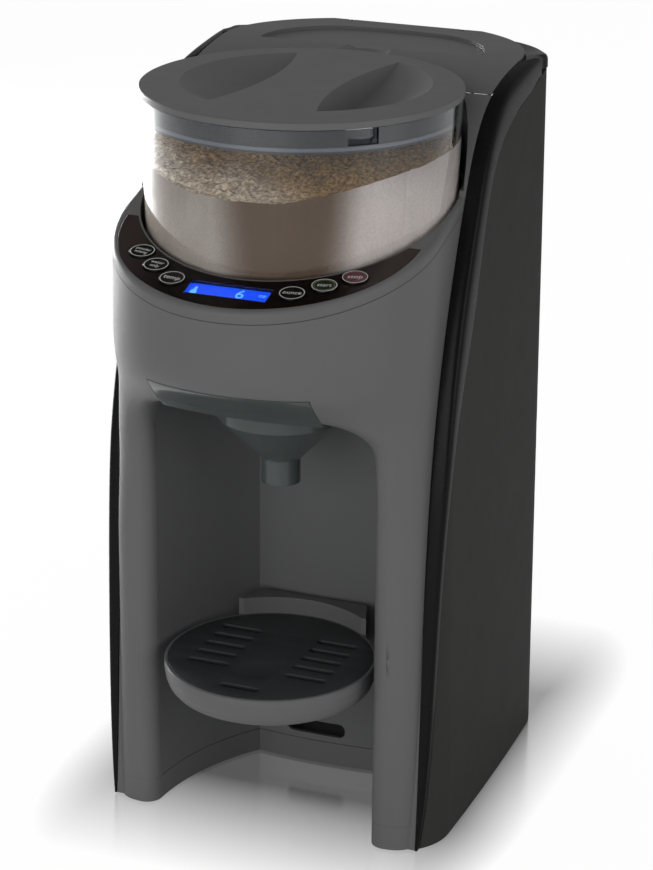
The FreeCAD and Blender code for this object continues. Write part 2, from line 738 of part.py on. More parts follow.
def make_base_plate():
    nose = Part.Face(head_outline(0.0, 10.0, base_clear)).extrude(V(0, 0, base_seam_z - base_clear))
    wide = outer_block(panel_wall + seam, base_clear, base_seam_z)
    foot = nose.fuse([wide.common(box(-far, far, -15.0, far, 0, base_seam_z + 1)),
                      side_flange(base_clear, base_seam_z)])
    foot = foot.cut(bay_plan(0.0, -far, -10, far)).removeSplitter()
    mouth_edges = [e for e in foot.Edges if abs(abs(e.CenterOfMass.x) - bay_half_width) < 0.05
                   and e.CenterOfMass.y < return_end_y - 5.0 and e.BoundBox.ZLength > 10.0]
    foot = foot.makeFillet(bay_edge_r, mouth_edges)
    holes = [cyl(foot_peg_r + 0.05, 0, base_clear + 6, side * x, y)
             for side in (-1, 1) for x, y in foot_places]
    for side in (-1, 1):
        for x, y in base_screw_places:
            holes.append(cyl(screw_r + 0.05, -1, 20, side * x, y))
            holes.append(cyl(screw_head_r + 0.3, -1, base_clear + 3, side * x, y))
    return foot.cut(holes)


def make_rear_housing():
    z0 = base_seam_z + seam
    outside = outer_block(panel_wall + seam, z0, seat_z)
    back = outer_block(seam, z0, seat_z).common(
        box(-back_half_width, back_half_width, tank_front_y, far, 0, far))
    body = outside.fuse(back)
    hollow = outer_block(panel_wall + seam + shell_wall, z0 - 5, seat_z - shell_wall)
    body = body.cut(hollow).common(box(-far, far, tank_front_y, far, 0, far))
    port = cyl(port_hole_r, 100, 200, 0, port_y)
    wall_y = outer_back_y(gland_x)
    inlet = cyl_y(gland_r, wall_y - 15.0, wall_y + 15.0, gland_x, gland_z).fuse(
        cyl_y(gland_r + 2.2, wall_y - gland_seat, wall_y + 15.0, gland_x, gland_z))
    return body.cut(port).cut(inlet)


# ---------------------------------------------------------------- water tank
def deck_plan(inset, z0, z1):
    """Rear part of the deck's outline as an upright prism."""
    width = deck_half() - inset
    back = rear_reach - deck_inset
    corner_x = deck_half() - deck_corner_r
    center = V(0, back - rear_bow_r, z0)
    corner = V(corner_x, center.y + math.sqrt((rear_bow_r - deck_corner_r) ** 2 - corner_x ** 2), z0)
    p_back = center + V(corner - center).normalize() * (rear_bow_r - inset)
    p_side, p_front = V(width, corner.y, z0), V(width, -20, z0)
    turn = between(corner, deck_corner_r - inset, p_side, p_back)
    rear = Part.Arc(p_back, V(0, back - inset, z0), V(-p_back.x, p_back.y, z0)).toShape()
    side = Part.makeLine(p_front, p_side)
    edges = [side, turn, rear, turn.mirror(V(0, 0, 0), V(1, 0, 0)),
             side.mirror(V(0, 0, 0), V(1, 0, 0)), Part.makeLine(V(-width, -20, z0), p_front)]
    return Part.Face(Part.Wire(Part.sortEdges(edges)[0])).extrude(V(0, 0, z1 - z0))


def tank_body(inset, z0, z1):
    plan = deck_plan(tank_gap + inset, z0, z1)
    plan = plan.cut(cyl(tank_front_r + inset, z0 - 1, z1 + 1))
    return plan.common(box(-far, far, tank_front_y + inset, hinge_y + barrel_r - inset, z0, z1))


def make_water_tank():
    tank = tank_body(0.0, seat_z + seam, tank_rim_z).cut(
        tank_body(tank_wall, seat_z + seam + tank_wall, tank_rim_z + 5))
    port = cyl(valve_stem_r + 0.05, seat_z - 5, seat_z + 10, 0, port_y)
    ears = []
    for x in (-ear_x - ear_width, ear_x):
        ear = box(x, x + ear_width, hinge_y - barrel_r, hinge_y + 1.0, tank_rim_z - 12, hinge_z)
        ear = ear.fuse(cyl_x(barrel_r, x, x + ear_width, hinge_y, hinge_z)).common(
            box(-far, far, 0, hinge_y + barrel_r - 0.6, 0, far))
        ears.append(ear.cut(cyl_x(pin_wire_r, x - 1, x + ear_width + 1, hinge_y, hinge_z)))
    return fuse([tank.cut(port)] + ears)


def make_tank_lid():
    inset = seam + 0.2
    lid = deck_plan(inset, tank_rim_z + seam, deck_z + 2)
    lid = lid.common(box(-far, far, deck_seam_y, far, 0, far))
    outside = profile_prism(shell_edge[4:] + [(rear_reach, deck_z)], far)
    lid = lid.common(outside).cut(cyl(lid_r + lid_gap, floor_z, far))
    inner = deck_plan(rim_width, deck_z - rim_drop, deck_z + 5).common(
        box(-far, far, lid_r + 12.0, rear_reach - rim_width, 0, far))
    lid = lid.cut(inner)
    outside.translate(V(0, 0, -tank_lid_wall))
    hollow = tank_body(tank_wall + 1.0, tank_rim_z - 5, deck_z - rim_drop - tank_lid_wall)
    lid = lid.cut(hollow.common(outside))
    scoop_r = (scoop_reach ** 2 + scoop_depth ** 2) / (2 * scoop_depth)
    scoop = Part.makeSphere(scoop_r, V(0, lid_r + lid_gap - 0.5, deck_z - scoop_depth + scoop_r))
    lid = lid.cut(scoop)
    lid = lid.cut(box(-far, far, hinge_y, far, 0, far))
    half = ear_x - ear_gap
    lid = lid.fuse(cyl_x(barrel_r, -half, half, hinge_y, hinge_z))
    for x in (-ear_x - ear_width - ear_gap, half):
        lid = lid.cut(box(x, x + ear_width + 2 * ear_gap, hinge_y - barrel_r - 0.5, far,
                          0, hinge_z + barrel_r + 0.3))
    bore_end = ear_x + ear_width - pin_length - 0.5
    for x in (-half - 0.1, bore_end):
        lid = lid.cut(cyl_x(pin_wire_r + running, x, x + half + 0.1 - bore_end, hinge_y, hinge_z))
    return lid.removeSplitter()


def make_hinge_pins():
    outer_x = ear_x + ear_width
    return both_sides(cyl_x(pin_wire_r, outer_x - pin_length, outer_x, hinge_y, hinge_z))


# ---------------------------------------------------------------- powder container
def bowl_r(z):
    share = (z - bowl_bottom_z) / (bowl_top_z - bowl_bottom_z)
    return bowl_bottom_r + (bowl_top_r - bowl_bottom_r) * share


def make_powder_container():
    wall = revolve([(bowl_bottom_r, bowl_bottom_z), (bowl_top_r, bowl_top_z),
                    (bowl_top_r - bowl_wall, bowl_top_z),
                    (bowl_bottom_r - bowl_wall, bowl_bottom_z + 6), (bowl_bottom_r - 6, bowl_bottom_z + 6),
                    (bowl_bottom_r - 6, bowl_bottom_z)])
    sweep = math.radians(pin_sweep)
    for k in range(3):
        drop = box(bowl_bottom_r - 6, lid_r, -pin_r - 0.3, pin_r + 0.3, pin_z - pin_r - 0.3, far)
        run = ring(lid_r, bowl_bottom_r - 6, pin_z - pin_r - 0.3, pin_z + pin_r + 0.3)
        turn = prism([(0, 0), (far, 0), (far * math.cos(sweep), -far * math.sin(sweep))], floor_z, far)
        slot = drop.fuse(run.common(turn))
        slot.rotate(V(0, 0, 0), V(0, 0, 1), pin_angle + 120 * k)
        wall = wall.cut(slot)
    return wall


def powder_outlet(grow):
    """Upright prism through which the powder drops."""
    width, length = outlet_size[0] / 2 + grow, outlet_size[1] / 2 + grow
    return box(-width, width, outlet_y - length, outlet_y + length, flange_z - 10, bowl_bottom_z + 20)


def make_container_base():
    top_r = bowl_bottom_r - 6 - 0.1
    base = cyl(top_r, bowl_bottom_z, bowl_bottom_z + 3).fuse(
        cyl(bowl_bottom_r - 1.5, well_floor_z + 2.7, bowl_bottom_z - 0.1))
    base = base.fuse(cyl(top_r, bowl_bottom_z - 0.2, bowl_bottom_z + 0.1))
    pocket = cyl(wheel_r + 0.5, bowl_bottom_z - 1.2, bowl_bottom_z + 10)
    base = base.cut(pocket).cut(cyl(shaft_r + 2.5, flange_z, far))
    return base.cut(powder_outlet(0.0)).removeSplitter()


def make_portion_wheel():
    z0 = bowl_bottom_z - 1.0
    wheel = cyl(wheel_r, z0, z0 + wheel_thick)
    length, width = pocket_size
    pocket = box(-outlet_y - length / 2, -outlet_y + length / 2, -width / 2, width / 2,
                 z0 - 1, z0 + wheel_thick + 2)
    pockets = []
    for k in range(pocket_count):
        copy = pocket.copy()
        copy.rotate(V(0, 0, 0), V(0, 0, 1), 360.0 * (k + 0.5) / pocket_count)
        pockets.append(copy)
    wheel = wheel.cut(pockets[0].multiFuse(pockets[1:]))
    return wheel.cut(hexagon(hex_across + 0.5, z0 - 1, z0 + wheel_thick + 2))


def make_stirring_wheel():
    z0 = bowl_bottom_z - 1.0 + wheel_thick + 0.4
    hub = revolve([(4.0, z0), (13.0, z0), (13.0, z0 + 10), (9.0, z0 + 22), (4.0, z0 + 25)])
    hub = hub.fuse(cyl(4.5, z0 + 22, z0 + 26)).cut(hexagon(hex_across + 0.5, z0 - 1, z0 + 13))
    pieces = [hub]
    for k in range(4):
        arm = box(11, stirrer_r - 2, -3, 3, z0 + 1.0, z0 + 5.0)
        blade = prism([(stirrer_r - 6, -3), (stirrer_r, -3), (stirrer_r, 3), (stirrer_r - 6, 7)],
                      z0 + 1.0, z0 + blade_heights[k % 2])
        for piece in (arm, blade):
            piece.rotate(V(0, 0, 0), V(0, 0, 1), 90 * k)
            pieces.append(piece)
    return fuse(pieces)


def make_container_well():
    well = ring(bore_r + well_wall, bore_r, well_floor_z, tank_rim_z - 3.0).fuse(
        cyl(bore_r + 0.5, well_floor_z, well_floor_z + 2.5))
    well = well.cut(cyl(shaft_r + 3.0, flange_z, far)).cut(powder_outlet(1.5))
    front = box(-far, far, -far, deck_seam_y, 0, far).cut(under_panel_plane(collar_height + seam))
    return well.cut(front)


# ---------------------------------------------------------------- powder lid
def grip_hollow():
    """Finger hollow beside the lid's handle bar: a shallow dish with a steep wall at the bar."""
    rise = math.sqrt(grip_dish_r ** 2 - grip_reach ** 2)
    dish = Part.makeSphere(grip_dish_r, V(0, grip_y, lid_top_z + rise))
    wall_x = grip_half_width + grip_waist_r
    wall = Part.makeCone(grip_waist_r - 6.0, grip_waist_r, lid_floor_depth,
                         V(wall_x, grip_y, lid_top_z - lid_floor_depth))
    keep = wall.fuse(cyl(grip_waist_r, lid_top_z, lid_top_z + 5, wall_x, grip_y))
    return dish.common(keep).common(cyl(grip_reach + 5, floor_z, lid_top_z + 4, 0, grip_y))


def make_lid_top():
    cap = cyl(lid_r, lid_under_z, lid_top_z)
    cap = cap.makeFillet(0.9, [e for e in cap.Edges if abs(e.CenterOfMass.z - lid_top_z) < 0.01])
    under = cyl(grip_reach + grip_y + 2.0, lid_top_z - lid_floor_depth, lid_under_z + 0.5)
    hollow = grip_hollow()
    solid = cap.fuse(under).cut(hollow).cut(mirrored(hollow))
    half = grip_half_width - 3.0
    bar = box(-half, half, -60, 60, lid_top_z - lid_floor_depth - 1, lid_top_z - 2.4)
    return solid.cut(bar)


def make_lid_skirt():
    skirt = ring(skirt_r, skirt_r - skirt_wall, skirt_bottom_z, lid_under_z - 0.05)
    groove = ring(skirt_r + 1, skirt_r - 0.9, skirt_bottom_z + 1.2, skirt_bottom_z + 3.2)
    skirt = skirt.cut(groove)
    for k in range(3):
        pin = Part.makeCylinder(pin_r, 3.2, V(skirt_r - 1.0, 0, pin_z), V(1, 0, 0))
        pin.rotate(V(0, 0, 0), V(0, 0, 1), pin_angle + 120 * k)
        skirt = skirt.fuse(pin)
    return skirt.removeSplitter()


def make_lid_seal():
    z = skirt_bottom_z + 2.2
    return ring(skirt_r + 0.25, skirt_r - 0.85, z - 0.9, z + 0.9)


# ---------------------------------------------------------------- funnel
def make_funnel():
    """Cone, the flange it slides on, and the front plate that lies flush with the head."""
    z1 = flange_z + flange_thick
    outer = [(spout_r, spout_bottom_z), (spout_r, cone_bottom_z), (spout_r + 2.0, cone_bottom_z + 1.5),
             (hopper_r, cone_top_z), (hopper_r + 0.6, z1)]
    inner = [(hopper_r + 0.6 - funnel_wall, z1), (hopper_r - funnel_wall, cone_top_z + 0.8),
             (spout_r - funnel_wall + 1.5, cone_bottom_z + 1.5), (spout_r - funnel_wall, cone_bottom_z),
             (spout_r - funnel_wall, spout_bottom_z)]
    cone = revolve(outer + inner, 0, funnel_y)
    flange = box(-flange_half_width, flange_half_width, -far, flange_back_y, flange_z, z1)
    flange = flange.common(head_block(plate_thick / 2, deck_seam_y))
    flange = flange.cut(cyl(hopper_r - 1.0, cone_bottom_z, far, 0, funnel_y))
    skin = head_block(0.0, deck_seam_y).cut(head_block(plate_thick, deck_seam_y + 5))
    plate = skin.common(box(-plate_half_width, plate_half_width, -far, -60, plate_bottom_z, plate_top_z))
    return fuse([cone, flange, plate])


# ---------------------------------------------------------------- bottle tray
def tongue_bar(grow, y0, y1, z):
    """The tray's tongue, or grown by a gap the socket that it slides into."""
    width, height = tongue_width / 2 + grow, tongue_thick / 2 + grow
    bar = box(-width, width, y0, y1, z - height, z + height)
    return bar.makeFillet(tongue_round + grow, [e for e in bar.Edges if e.BoundBox.YLength > 1.0])


def make_tray_body():
    z1 = tray_top_z
    r = grille_r + tray_rim
    body = revolve([(0, z1 - tray_depth), (r - 13, z1 - tray_depth), (r - 8, z1 - tray_depth + 0.9),
                    (r - 4.4, z1 - tray_depth + 2.8), (r - 2.2, z1 - tray_depth + 5.4),
                    (r - 0.8, z1 - tray_depth + 9.0), (r, z1 - 4), (r, z1 - 0.6), (r - 0.6, z1),
                    (grille_r + 0.2, z1), (grille_r + 0.2, z1 - grille_thick - 0.1),
                    (grille_r - 3.0, z1 - grille_thick - 0.1), (grille_r - 4.5, z1 - 11),
                    (grille_r - 8.0, z1 - tray_depth + 3), (0, z1 - tray_depth + 3)],
                   0, tray_y)
    half, back_half = bracket_half_widths
    bracket = prism([(-half, bracket_front_y), (-back_half, bracket_back_y), (back_half, bracket_back_y),
                     (half, bracket_front_y)], z1 - tray_depth + 2, z1 + bracket_rise)
    bracket = bracket.cut(cyl(r - 0.8, 0, 200, 0, tray_y))
    return fuse([body, bracket, tongue_bar(0.0, bracket_back_y - 3.0, tongue_end_y, socket_levels[2])])


def make_drip_grille():
    z0, z1 = tray_top_z - grille_thick, tray_top_z
    disc = cyl(grille_r, z0, z1, 0, tray_y)
    cuts = []
    half = slot_width / 2
    spans = [(side * slot_inner_x, side * slot_outer_x, slot_first_y + slot_pitch * k)
             for side in (-1, 1) for k in range(5)]
    spans.append((-10.7, 10.7, slot_first_y - 2 * slot_pitch))
    for xa, xb, y in spans:
        x0, x1 = min(xa, xb) + half, max(xa, xb) - half
        cuts.append(box(x0, x1, y - half, y + half, z0 - 1, z1 + 1).fuse(
            [cyl(half, z0 - 1, z1 + 1, x, y) for x in (x0, x1)]))
    cuts.append(cyl(dimple_r - 4.0, z0 - 1, z1 + 1, 0, slot_first_y))
    return disc.cut(cuts[0].multiFuse(cuts[1:])).removeSplitter()


# ---------------------------------------------------------------- rear wall of the tank's bay
def make_tank_bay_wall():
    """Wall between the head and the tank, hollowed round the powder container."""
    y0, y1 = deck_seam_y + seam, deck_seam_y + seam + liner_wall
    z0, z1 = seat_z + seam, tank_rim_z - 1.0
    half = deck_half() - 2 * seam
    wings = box(-half, half, y0, y1, z0, z1).cut(cyl(bay_wall_r, z0 - 1, z1 + 1))
    curve = ring(bay_wall_r + liner_wall, bay_wall_r, z0, z1).common(box(-half, half, y0, far, 0, far))
    return fuse([wings, curve])


# ---------------------------------------------------------------- control panel
def button_plan(grow, z0, z1):
    return oval(cap_width / 2 + grow, cap_height / 2 + grow, z0, z1)


def make_control_panel():
    panel = panel_plan(0.0).common(under_panel_plane(0.0)).cut(under_panel_plane(panel_thick))
    posts = [on_panel(cyl(board_post_r, panel_thick - 0.1 - board_depth, 0.1 - panel_thick), x, y)
             for x, y in board_post_places]
    panel = fuse([panel] + posts)
    holes = [on_panel(button_plan(0.15, -5, 2), x, y) for x, y in button_places.values()]
    window = box(-display_width / 2 - 0.1, display_width / 2 + 0.1, -display_height / 2 - 0.1,
                 display_height / 2 + 0.1, -5, 2)
    holes.append(on_panel(window, 0, display_y))
    holes += [on_panel(cyl(screw_r * 0.6, -board_depth - 1, -panel_thick - 1), x, y)
              for x, y in board_post_places]
    return panel.cut(holes)


def make_display_window():
    pane = box(-display_width / 2, display_width / 2, -display_height / 2, display_height / 2,
               -panel_thick + 0.3, -0.1)
    return on_panel(pane, 0, display_y)


def make_display_module():
    half_x, half_y = display_width / 2 + 2.5, display_height / 2
    body = box(-half_x, half_x, -half_y - 1.6, half_y - 0.5, -board_depth, -panel_thick - 0.1)
    face = box(-display_width / 2 + 0.6, display_width / 2 - 0.6, -display_height / 2 + 0.6,
               display_height / 2 - 0.6, -panel_thick - 0.1, -panel_thick + 0.2)
    return on_panel(body.fuse(face), 0, display_y)


def make_control_board():
    top = under_panel_plane(board_depth).cut(under_panel_plane(board_depth + board_thick))
    board = panel_plan(-3.5).common(top)
    holes = [on_panel(cyl(screw_r + 0.1, -30, 0), x, y) for x, y in board_post_places]
    return board.cut(holes)


def make_tact_switches():
    half = switch_size / 2
    top = switch_height - board_depth
    switch = box(-half, half, -half, half, -board_depth, top).fuse(cyl(1.6, top - 0.1, top + 0.6))
    return Part.makeCompound([on_panel(switch, x, y) for x, y in button_places.values()])


def make_button(place):
    stem_end = switch_height - board_depth + 0.6 + button_travel + 0.1
    flange_top = -panel_thick - slide_gap
    cap = cyl(cap_width / 2, flange_top - 1.0, cap_proud)
    cap = cap.makeFillet(0.5, [e for e in cap.Edges if abs(e.CenterOfMass.z - cap_proud) < 0.01])
    squash = FreeCAD.Matrix()
    squash.scale(1.0, cap_height / cap_width, 1.0)
    cap = cap.transformGeometry(squash)
    flange = button_plan(0.9, flange_top - 1.0, flange_top)
    stem = cyl(2.0, stem_end, flange_top - 0.5)
    button = on_panel(fuse([cap, flange, stem]), *place)
    beside_bore = cyl(bore_r + shell_wall + 0.6, floor_z, far)
    return button.cut(beside_bore.common(under_panel_plane(panel_thick - button_travel - 0.4)))


def make_board_screws():
    screws = []
    for x, y in board_post_places:
        under = -board_depth - board_thick
        screw = cyl(screw_r * 0.6, under, -board_depth + 4).fuse(cyl(screw_head_r * 0.8, under - 1.2, under))
        screws.append(on_panel(screw, x, y))
    return Part.makeCompound(screws)


# ---------------------------------------------------------------- drive
def make_head_floor():
    """Floor of the head, carrying the shaft bush, the motor, the powder spout and the hoses."""
    plate = Part.Face(head_outline(shell_wall + seam + 0.6, deck_seam_y - 1.0, floor_z)).extrude(
        V(0, 0, floor_thick))
    plate = plate.fuse(cyl(motor_r + 2.0, floor_z, floor_top_z, 0, motor_y))
    spout = box(-outlet_size[0] / 2 - 3, outlet_size[0] / 2 + 3, outlet_y - outlet_size[1] / 2 - 2.4,
                outlet_y + outlet_size[1] / 2 + 3, flange_z + flange_thick + 3.0, floor_z + 0.5)
    plate = fuse([plate, spout]).cut(powder_outlet(1.0))
    low = flange_z
    holes = [cyl(bush_r, low, far), cyl(motor_shaft_r + 2.0, low, far, 0, motor_y),
             cyl(nozzle_r + 0.05, low, far, *nozzle_place),
             cyl(hose_r + 1.5, low, far, hose_x, hose_back_y - 1.0)]
    for side in (-1, 1):
        holes.append(cyl(screw_r + 0.05, floor_z - 5, far, side * motor_screw_x, motor_y))
    return plate.cut(holes)


def make_shaft_bush():
    bush = cyl(bush_r, floor_z - 2.0, floor_top_z).fuse(
        cyl(bush_r + 2.0, floor_top_z, gear_z - slide_gap))
    return bush.cut(cyl(shaft_r + running, flange_z, far))


def make_drive_shaft():
    shaft = cyl(shaft_r, shaft_bottom_z, gear_z + gear_thick)
    drive_hex = hexagon(hex_across, gear_z + gear_thick, bowl_bottom_z + 17.0)
    groove = ring(shaft_r + 1, shaft_r - 1.0, shaft_bottom_z + 1.0, shaft_bottom_z + 2.2)
    return fuse([shaft.cut(groove), drive_hex])


def make_shaft_clip():
    clip = ring(shaft_r + 2.5, shaft_r - 0.95, shaft_bottom_z + 1.1, shaft_bottom_z + 2.1)
    return clip.cut(box(-2.0, 2.0, 0, 20, flange_z, far))


def make_drive_gear():
    wheel = gear(gear_teeth, gear_thick, gear_z, 0, 0, 90.0)
    hub_r, web_r = shaft_r + 4.0, gear_r - 6.0
    wheel = wheel.cut(ring(web_r, hub_r, gear_z + 4.0, gear_z + gear_thick + 1))
    for k in range(6):
        angle = math.radians(60 * k)
        middle = (hub_r + web_r) / 2
        wheel = wheel.cut(cyl(5.5, gear_z - 1, gear_z + 10, middle * math.cos(angle), middle * math.sin(angle)))
    return wheel.cut(cyl(shaft_r, flange_z, far))


def make_motor():
    body = cyl(motor_r, motor_bottom_z, floor_z, 0, motor_y)
    holes = [cyl(motor_shaft_r + running, motor_bottom_z + 8, far, 0, motor_y)]
    for side in (-1, 1):
        holes.append(cyl(screw_r, floor_z - 8, floor_z + 1, side * motor_screw_x, motor_y))
    tail = cyl(5.0, motor_bottom_z - 3, motor_bottom_z + 0.1, 0, motor_y)
    return body.fuse(tail).cut(holes)


def make_motor_shaft():
    return cyl(motor_shaft_r, motor_bottom_z + 10, gear_z + gear_thick + 0.5, 0, motor_y)


def make_motor_pinion():
    pinion = gear(pinion_teeth, gear_thick, gear_z, 0, motor_y, -75.0)
    return pinion.cut(cyl(motor_shaft_r, flange_z, far, 0, motor_y))


def make_motor_screws():
    screws = []
    for side in (-1, 1):
        x = side * motor_screw_x
        screws.append(cyl(screw_r, floor_z - 7, floor_top_z + 0.1, x, motor_y).fuse(
            cyl(screw_head_r, floor_top_z, floor_top_z + 1.4, x, motor_y)))
    return Part.makeCompound(screws)


# ---------------------------------------------------------------- water path
def make_water_nozzle():
    x, y = nozzle_place
    body = revolve([(1.6, floor_z - 8.0), (3.0, floor_z - 8.0), (nozzle_r, floor_z - 4.0),
                    (nozzle_r, hose_z + 2.0), (1.6, hose_z + 2.0)], x, y)
    cap = cyl(nozzle_r, hose_z + 1.0, hose_z + 2.0, x, y)
    barb = cyl_x(hose_bore_r - 0.05, x - 12, x - nozzle_r + 0.5, y, hose_z)
    return fuse([body, cap, barb])


def make_nozzle_hose():
    x, y = nozzle_place
    heater_mid = (heater_y[0] + heater_y[1]) / 2
    route = [V(hose_x, heater_mid, heater_top_z + 0.2), V(hose_x, heater_mid, heater_hose_z),
             V(hose_x, hose_back_y, heater_hose_z), V(hose_x, hose_back_y, hose_z), V(hose_x, y, hose_z),
             V(x - nozzle_r - 0.2, y, hose_z)]
    return hose(route)


def make_pump_hose():
    x, y = pump_place
    return hose([V(x - pump_r - 2.0, y, pump_port_z), V(heater_x[1] + 0.2, y, pump_port_z)])


def make_tank_hose():
    x, y = pump_place
    route = [V(0, port_y, port_bottom_z - 0.2), V(0, port_y, tank_hose_z), V(x, y, tank_hose_z),
             V(x, y, pump_top_z + 0.2)]
    return hose(route)


def make_tank_port():
    """Seat of the tank's valve, set in the rear housing."""
    port = revolve([(valve_stem_r + 0.5, seat_z - 0.1), (port_hole_r - 0.1, seat_z - 0.1),
                    (port_hole_r - 0.1, seat_z - 4.0), (port_hole_r + 2.0, seat_z - 4.0),
                    (port_hole_r + 2.0, seat_z - 6.0), (5.5, seat_z - 8.0), (hose_bore_r, seat_z - 12.0),
                    (hose_bore_r, port_bottom_z), (0.9, port_bottom_z), (0.9, seat_z - 9.5),
                    (valve_stem_r + 0.5, seat_z - 8.5)], 0, port_y)
    return port


def make_water_pump():
    x, y = pump_place
    z0 = base_seam_z + 0.1
    z1 = pump_top_z - 6.0
    body = revolve([(0, z0), (pump_r + 3, z0), (pump_r + 3, z0 + 3), (pump_r, z0 + 4), (pump_r, z1 - 3),
                    (pump_r - 3, z1), (4, z1), (4, pump_top_z), (0, pump_top_z)], x, y)
    side = cyl_x(4.0, x - pump_r - 1.8, x, y, pump_port_z)
    return body.fuse(side)


def make_water_heater():
    block = box(heater_x[0], heater_x[1], heater_y[0], heater_y[1], base_seam_z + 0.1, heater_top_z)
    upright = [e for e in block.Edges if abs(e.Vertexes[0].Z - e.Vertexes[-1].Z) > 50]
    return block.makeFillet(6.0, upright)


def make_main_board():
    """Power and control board standing in the base, with its larger components."""
    y = 60.0
    board = box(2, 74, y, y + 1.6, base_seam_z + 0.1, 112)
    transformer = box(8, 40, y + 1.6, y + 24, 22, 50)
    relay = box(48, 66, y + 1.6, y + 17, 24, 38)
    capacitors = [cyl_y(6.0, y + 1.6, y + 20, 16 + 15 * k, 64) for k in range(3)]
    return Part.makeCompound([board, transformer, relay] + capacitors)


def make_cord_gland():
    """Bush for the mains lead, held in the rear housing's wall."""
    seat = outer_back_y(gland_x) - gland_seat
    inner = outer_back_y(gland_x) - panel_wall - shell_wall - 3.0
    profile = [(lead_r, inner - 1.6), (gland_r + 1.4, inner - 1.6), (gland_r + 1.4, inner),
               (gland_r - 0.1, inner), (gland_r - 0.1, seat + 0.1), (gland_r + 1.8, seat + 0.1),
               (gland_r + 1.8, seat + 2.2), (lead_r + 1.4, seat + 5.0), (lead_r, seat + 5.0)]
    corners = [V(gland_x + r, y, gland_z) for r, y in profile]
    face = Part.Face(Part.makePolygon(corners + corners[:1]))
    return face.revolve(V(gland_x, 0, gland_z), V(0, 1, 0), 360)


def outer_back_y(x):
    """Back of the machine at a place across it."""
    return rear_reach - rear_bow_r + math.sqrt(rear_bow_r ** 2 - x ** 2)


def make_tank_valve():
    return revolve([(0, seat_z - 3.5), (valve_stem_r - 0.8, seat_z - 3.5), (valve_stem_r, seat_z - 2.5),
                    (valve_stem_r, seat_z + seam + tank_wall + 0.1), (7.0, seat_z + seam + tank_wall + 0.1),
                    (7.0, seat_z + 5.0), (5.5, seat_z + 12.0), (0, seat_z + 12.0)], 0, port_y)


# ---------------------------------------------------------------- feet and screws
def make_rubber_feet():
    feet = [cyl(foot_r, 0, base_clear, side * x, y).fuse(
        cyl(foot_peg_r, base_clear - 0.2, base_clear + 5.5, side * x, y))
            for side in (-1, 1) for x, y in foot_places]
    return Part.makeCompound(feet)


def make_base_screws():
    screws = [cyl(screw_head_r, base_clear + 1.2, base_clear + 3.0, side * x, y).fuse(
        cyl(screw_r, base_clear + 2.9, base_seam_z - 0.5, side * x, y))
              for side in (-1, 1) for x, y in base_screw_places]
    return Part.makeCompound(screws)


# ---------------------------------------------------------------- build
nodes = {
    "front_housing": make_front_housing, "upper_housing": make_upper_housing,
    "rear_trim": make_rear_trim, "bay_liner": make_bay_liner, "base_plate": make_base_plate,
    "rear_housing": make_rear_housing, "tank_bay_wall": make_tank_bay_wall,
    "control_panel": make_control_panel, "display_window": make_display_window,
    "display_module": make_display_module, "control_board": make_control_board,
    "tact_switches": make_tact_switches, "board_screws": make_board_screws,
    "head_floor": make_head_floor, "shaft_bush": make_shaft_bush, "drive_shaft": make_drive_shaft,
    "shaft_clip": make_shaft_clip, "drive_gear": make_drive_gear, "dosing_motor": make_motor,
    "motor_shaft": make_motor_shaft, "motor_pinion": make_motor_pinion,
    "motor_screws": make_motor_screws, "container_well": make_container_well,
    "powder_container": make_powder_container, "container_base": make_container_base,
    "portion_wheel": make_portion_wheel, "stirring_wheel": make_stirring_wheel,
    "lid_top": make_lid_top, "lid_skirt": make_lid_skirt, "lid_seal": make_lid_seal,
    "funnel": make_funnel, "water_nozzle": make_water_nozzle, "nozzle_hose": make_nozzle_hose,
    "pump_hose": make_pump_hose, "tank_hose": make_tank_hose, "tank_port": make_tank_port,
    "water_pump": make_water_pump, "water_heater": make_water_heater, "main_board": make_main_board,
    "cord_gland": make_cord_gland, "water_tank": make_water_tank, "tank_valve": make_tank_valve,
    "tank_lid": make_tank_lid, "hinge_pins": make_hinge_pins, "tray_body": make_tray_body,
    "drip_grille": make_drip_grille, "rubber_feet": make_rubber_feet, "base_screws": make_base_screws}

os.makedirs("parts", exist_ok=True)
for name, make in nodes.items():
    save(name, make())
for name, shape in (("side_panel", make_side_panel()), ("side_trim", make_side_trim())):
    save(name + "_right", shape)
    save(name + "_left", mirrored(shape))
for name, place in button_places.items():
    save(name, make_button(place))
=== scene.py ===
import bpy
import json
import math
from mathutils import Euler, Matrix, Vector


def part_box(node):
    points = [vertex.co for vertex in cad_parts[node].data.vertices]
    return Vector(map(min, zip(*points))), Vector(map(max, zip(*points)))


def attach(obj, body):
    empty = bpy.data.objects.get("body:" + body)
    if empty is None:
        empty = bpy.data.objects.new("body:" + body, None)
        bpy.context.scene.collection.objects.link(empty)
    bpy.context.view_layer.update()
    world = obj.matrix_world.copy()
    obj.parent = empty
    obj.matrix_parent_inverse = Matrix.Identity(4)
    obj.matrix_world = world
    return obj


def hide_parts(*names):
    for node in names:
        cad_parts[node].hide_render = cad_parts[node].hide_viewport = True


# Baby formula machine: grey moulded shell, black trims, clear powder container and rear tank.
# Metres, +Z up, -Y is the front.

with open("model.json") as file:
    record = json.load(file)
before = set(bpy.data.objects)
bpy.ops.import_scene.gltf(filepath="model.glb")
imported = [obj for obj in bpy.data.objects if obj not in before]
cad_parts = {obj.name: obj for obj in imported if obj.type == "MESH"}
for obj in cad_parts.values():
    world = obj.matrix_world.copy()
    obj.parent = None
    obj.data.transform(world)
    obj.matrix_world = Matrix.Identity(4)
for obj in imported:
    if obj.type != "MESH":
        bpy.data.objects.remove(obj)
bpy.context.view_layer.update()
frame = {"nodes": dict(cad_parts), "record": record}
nodes = frame["nodes"]

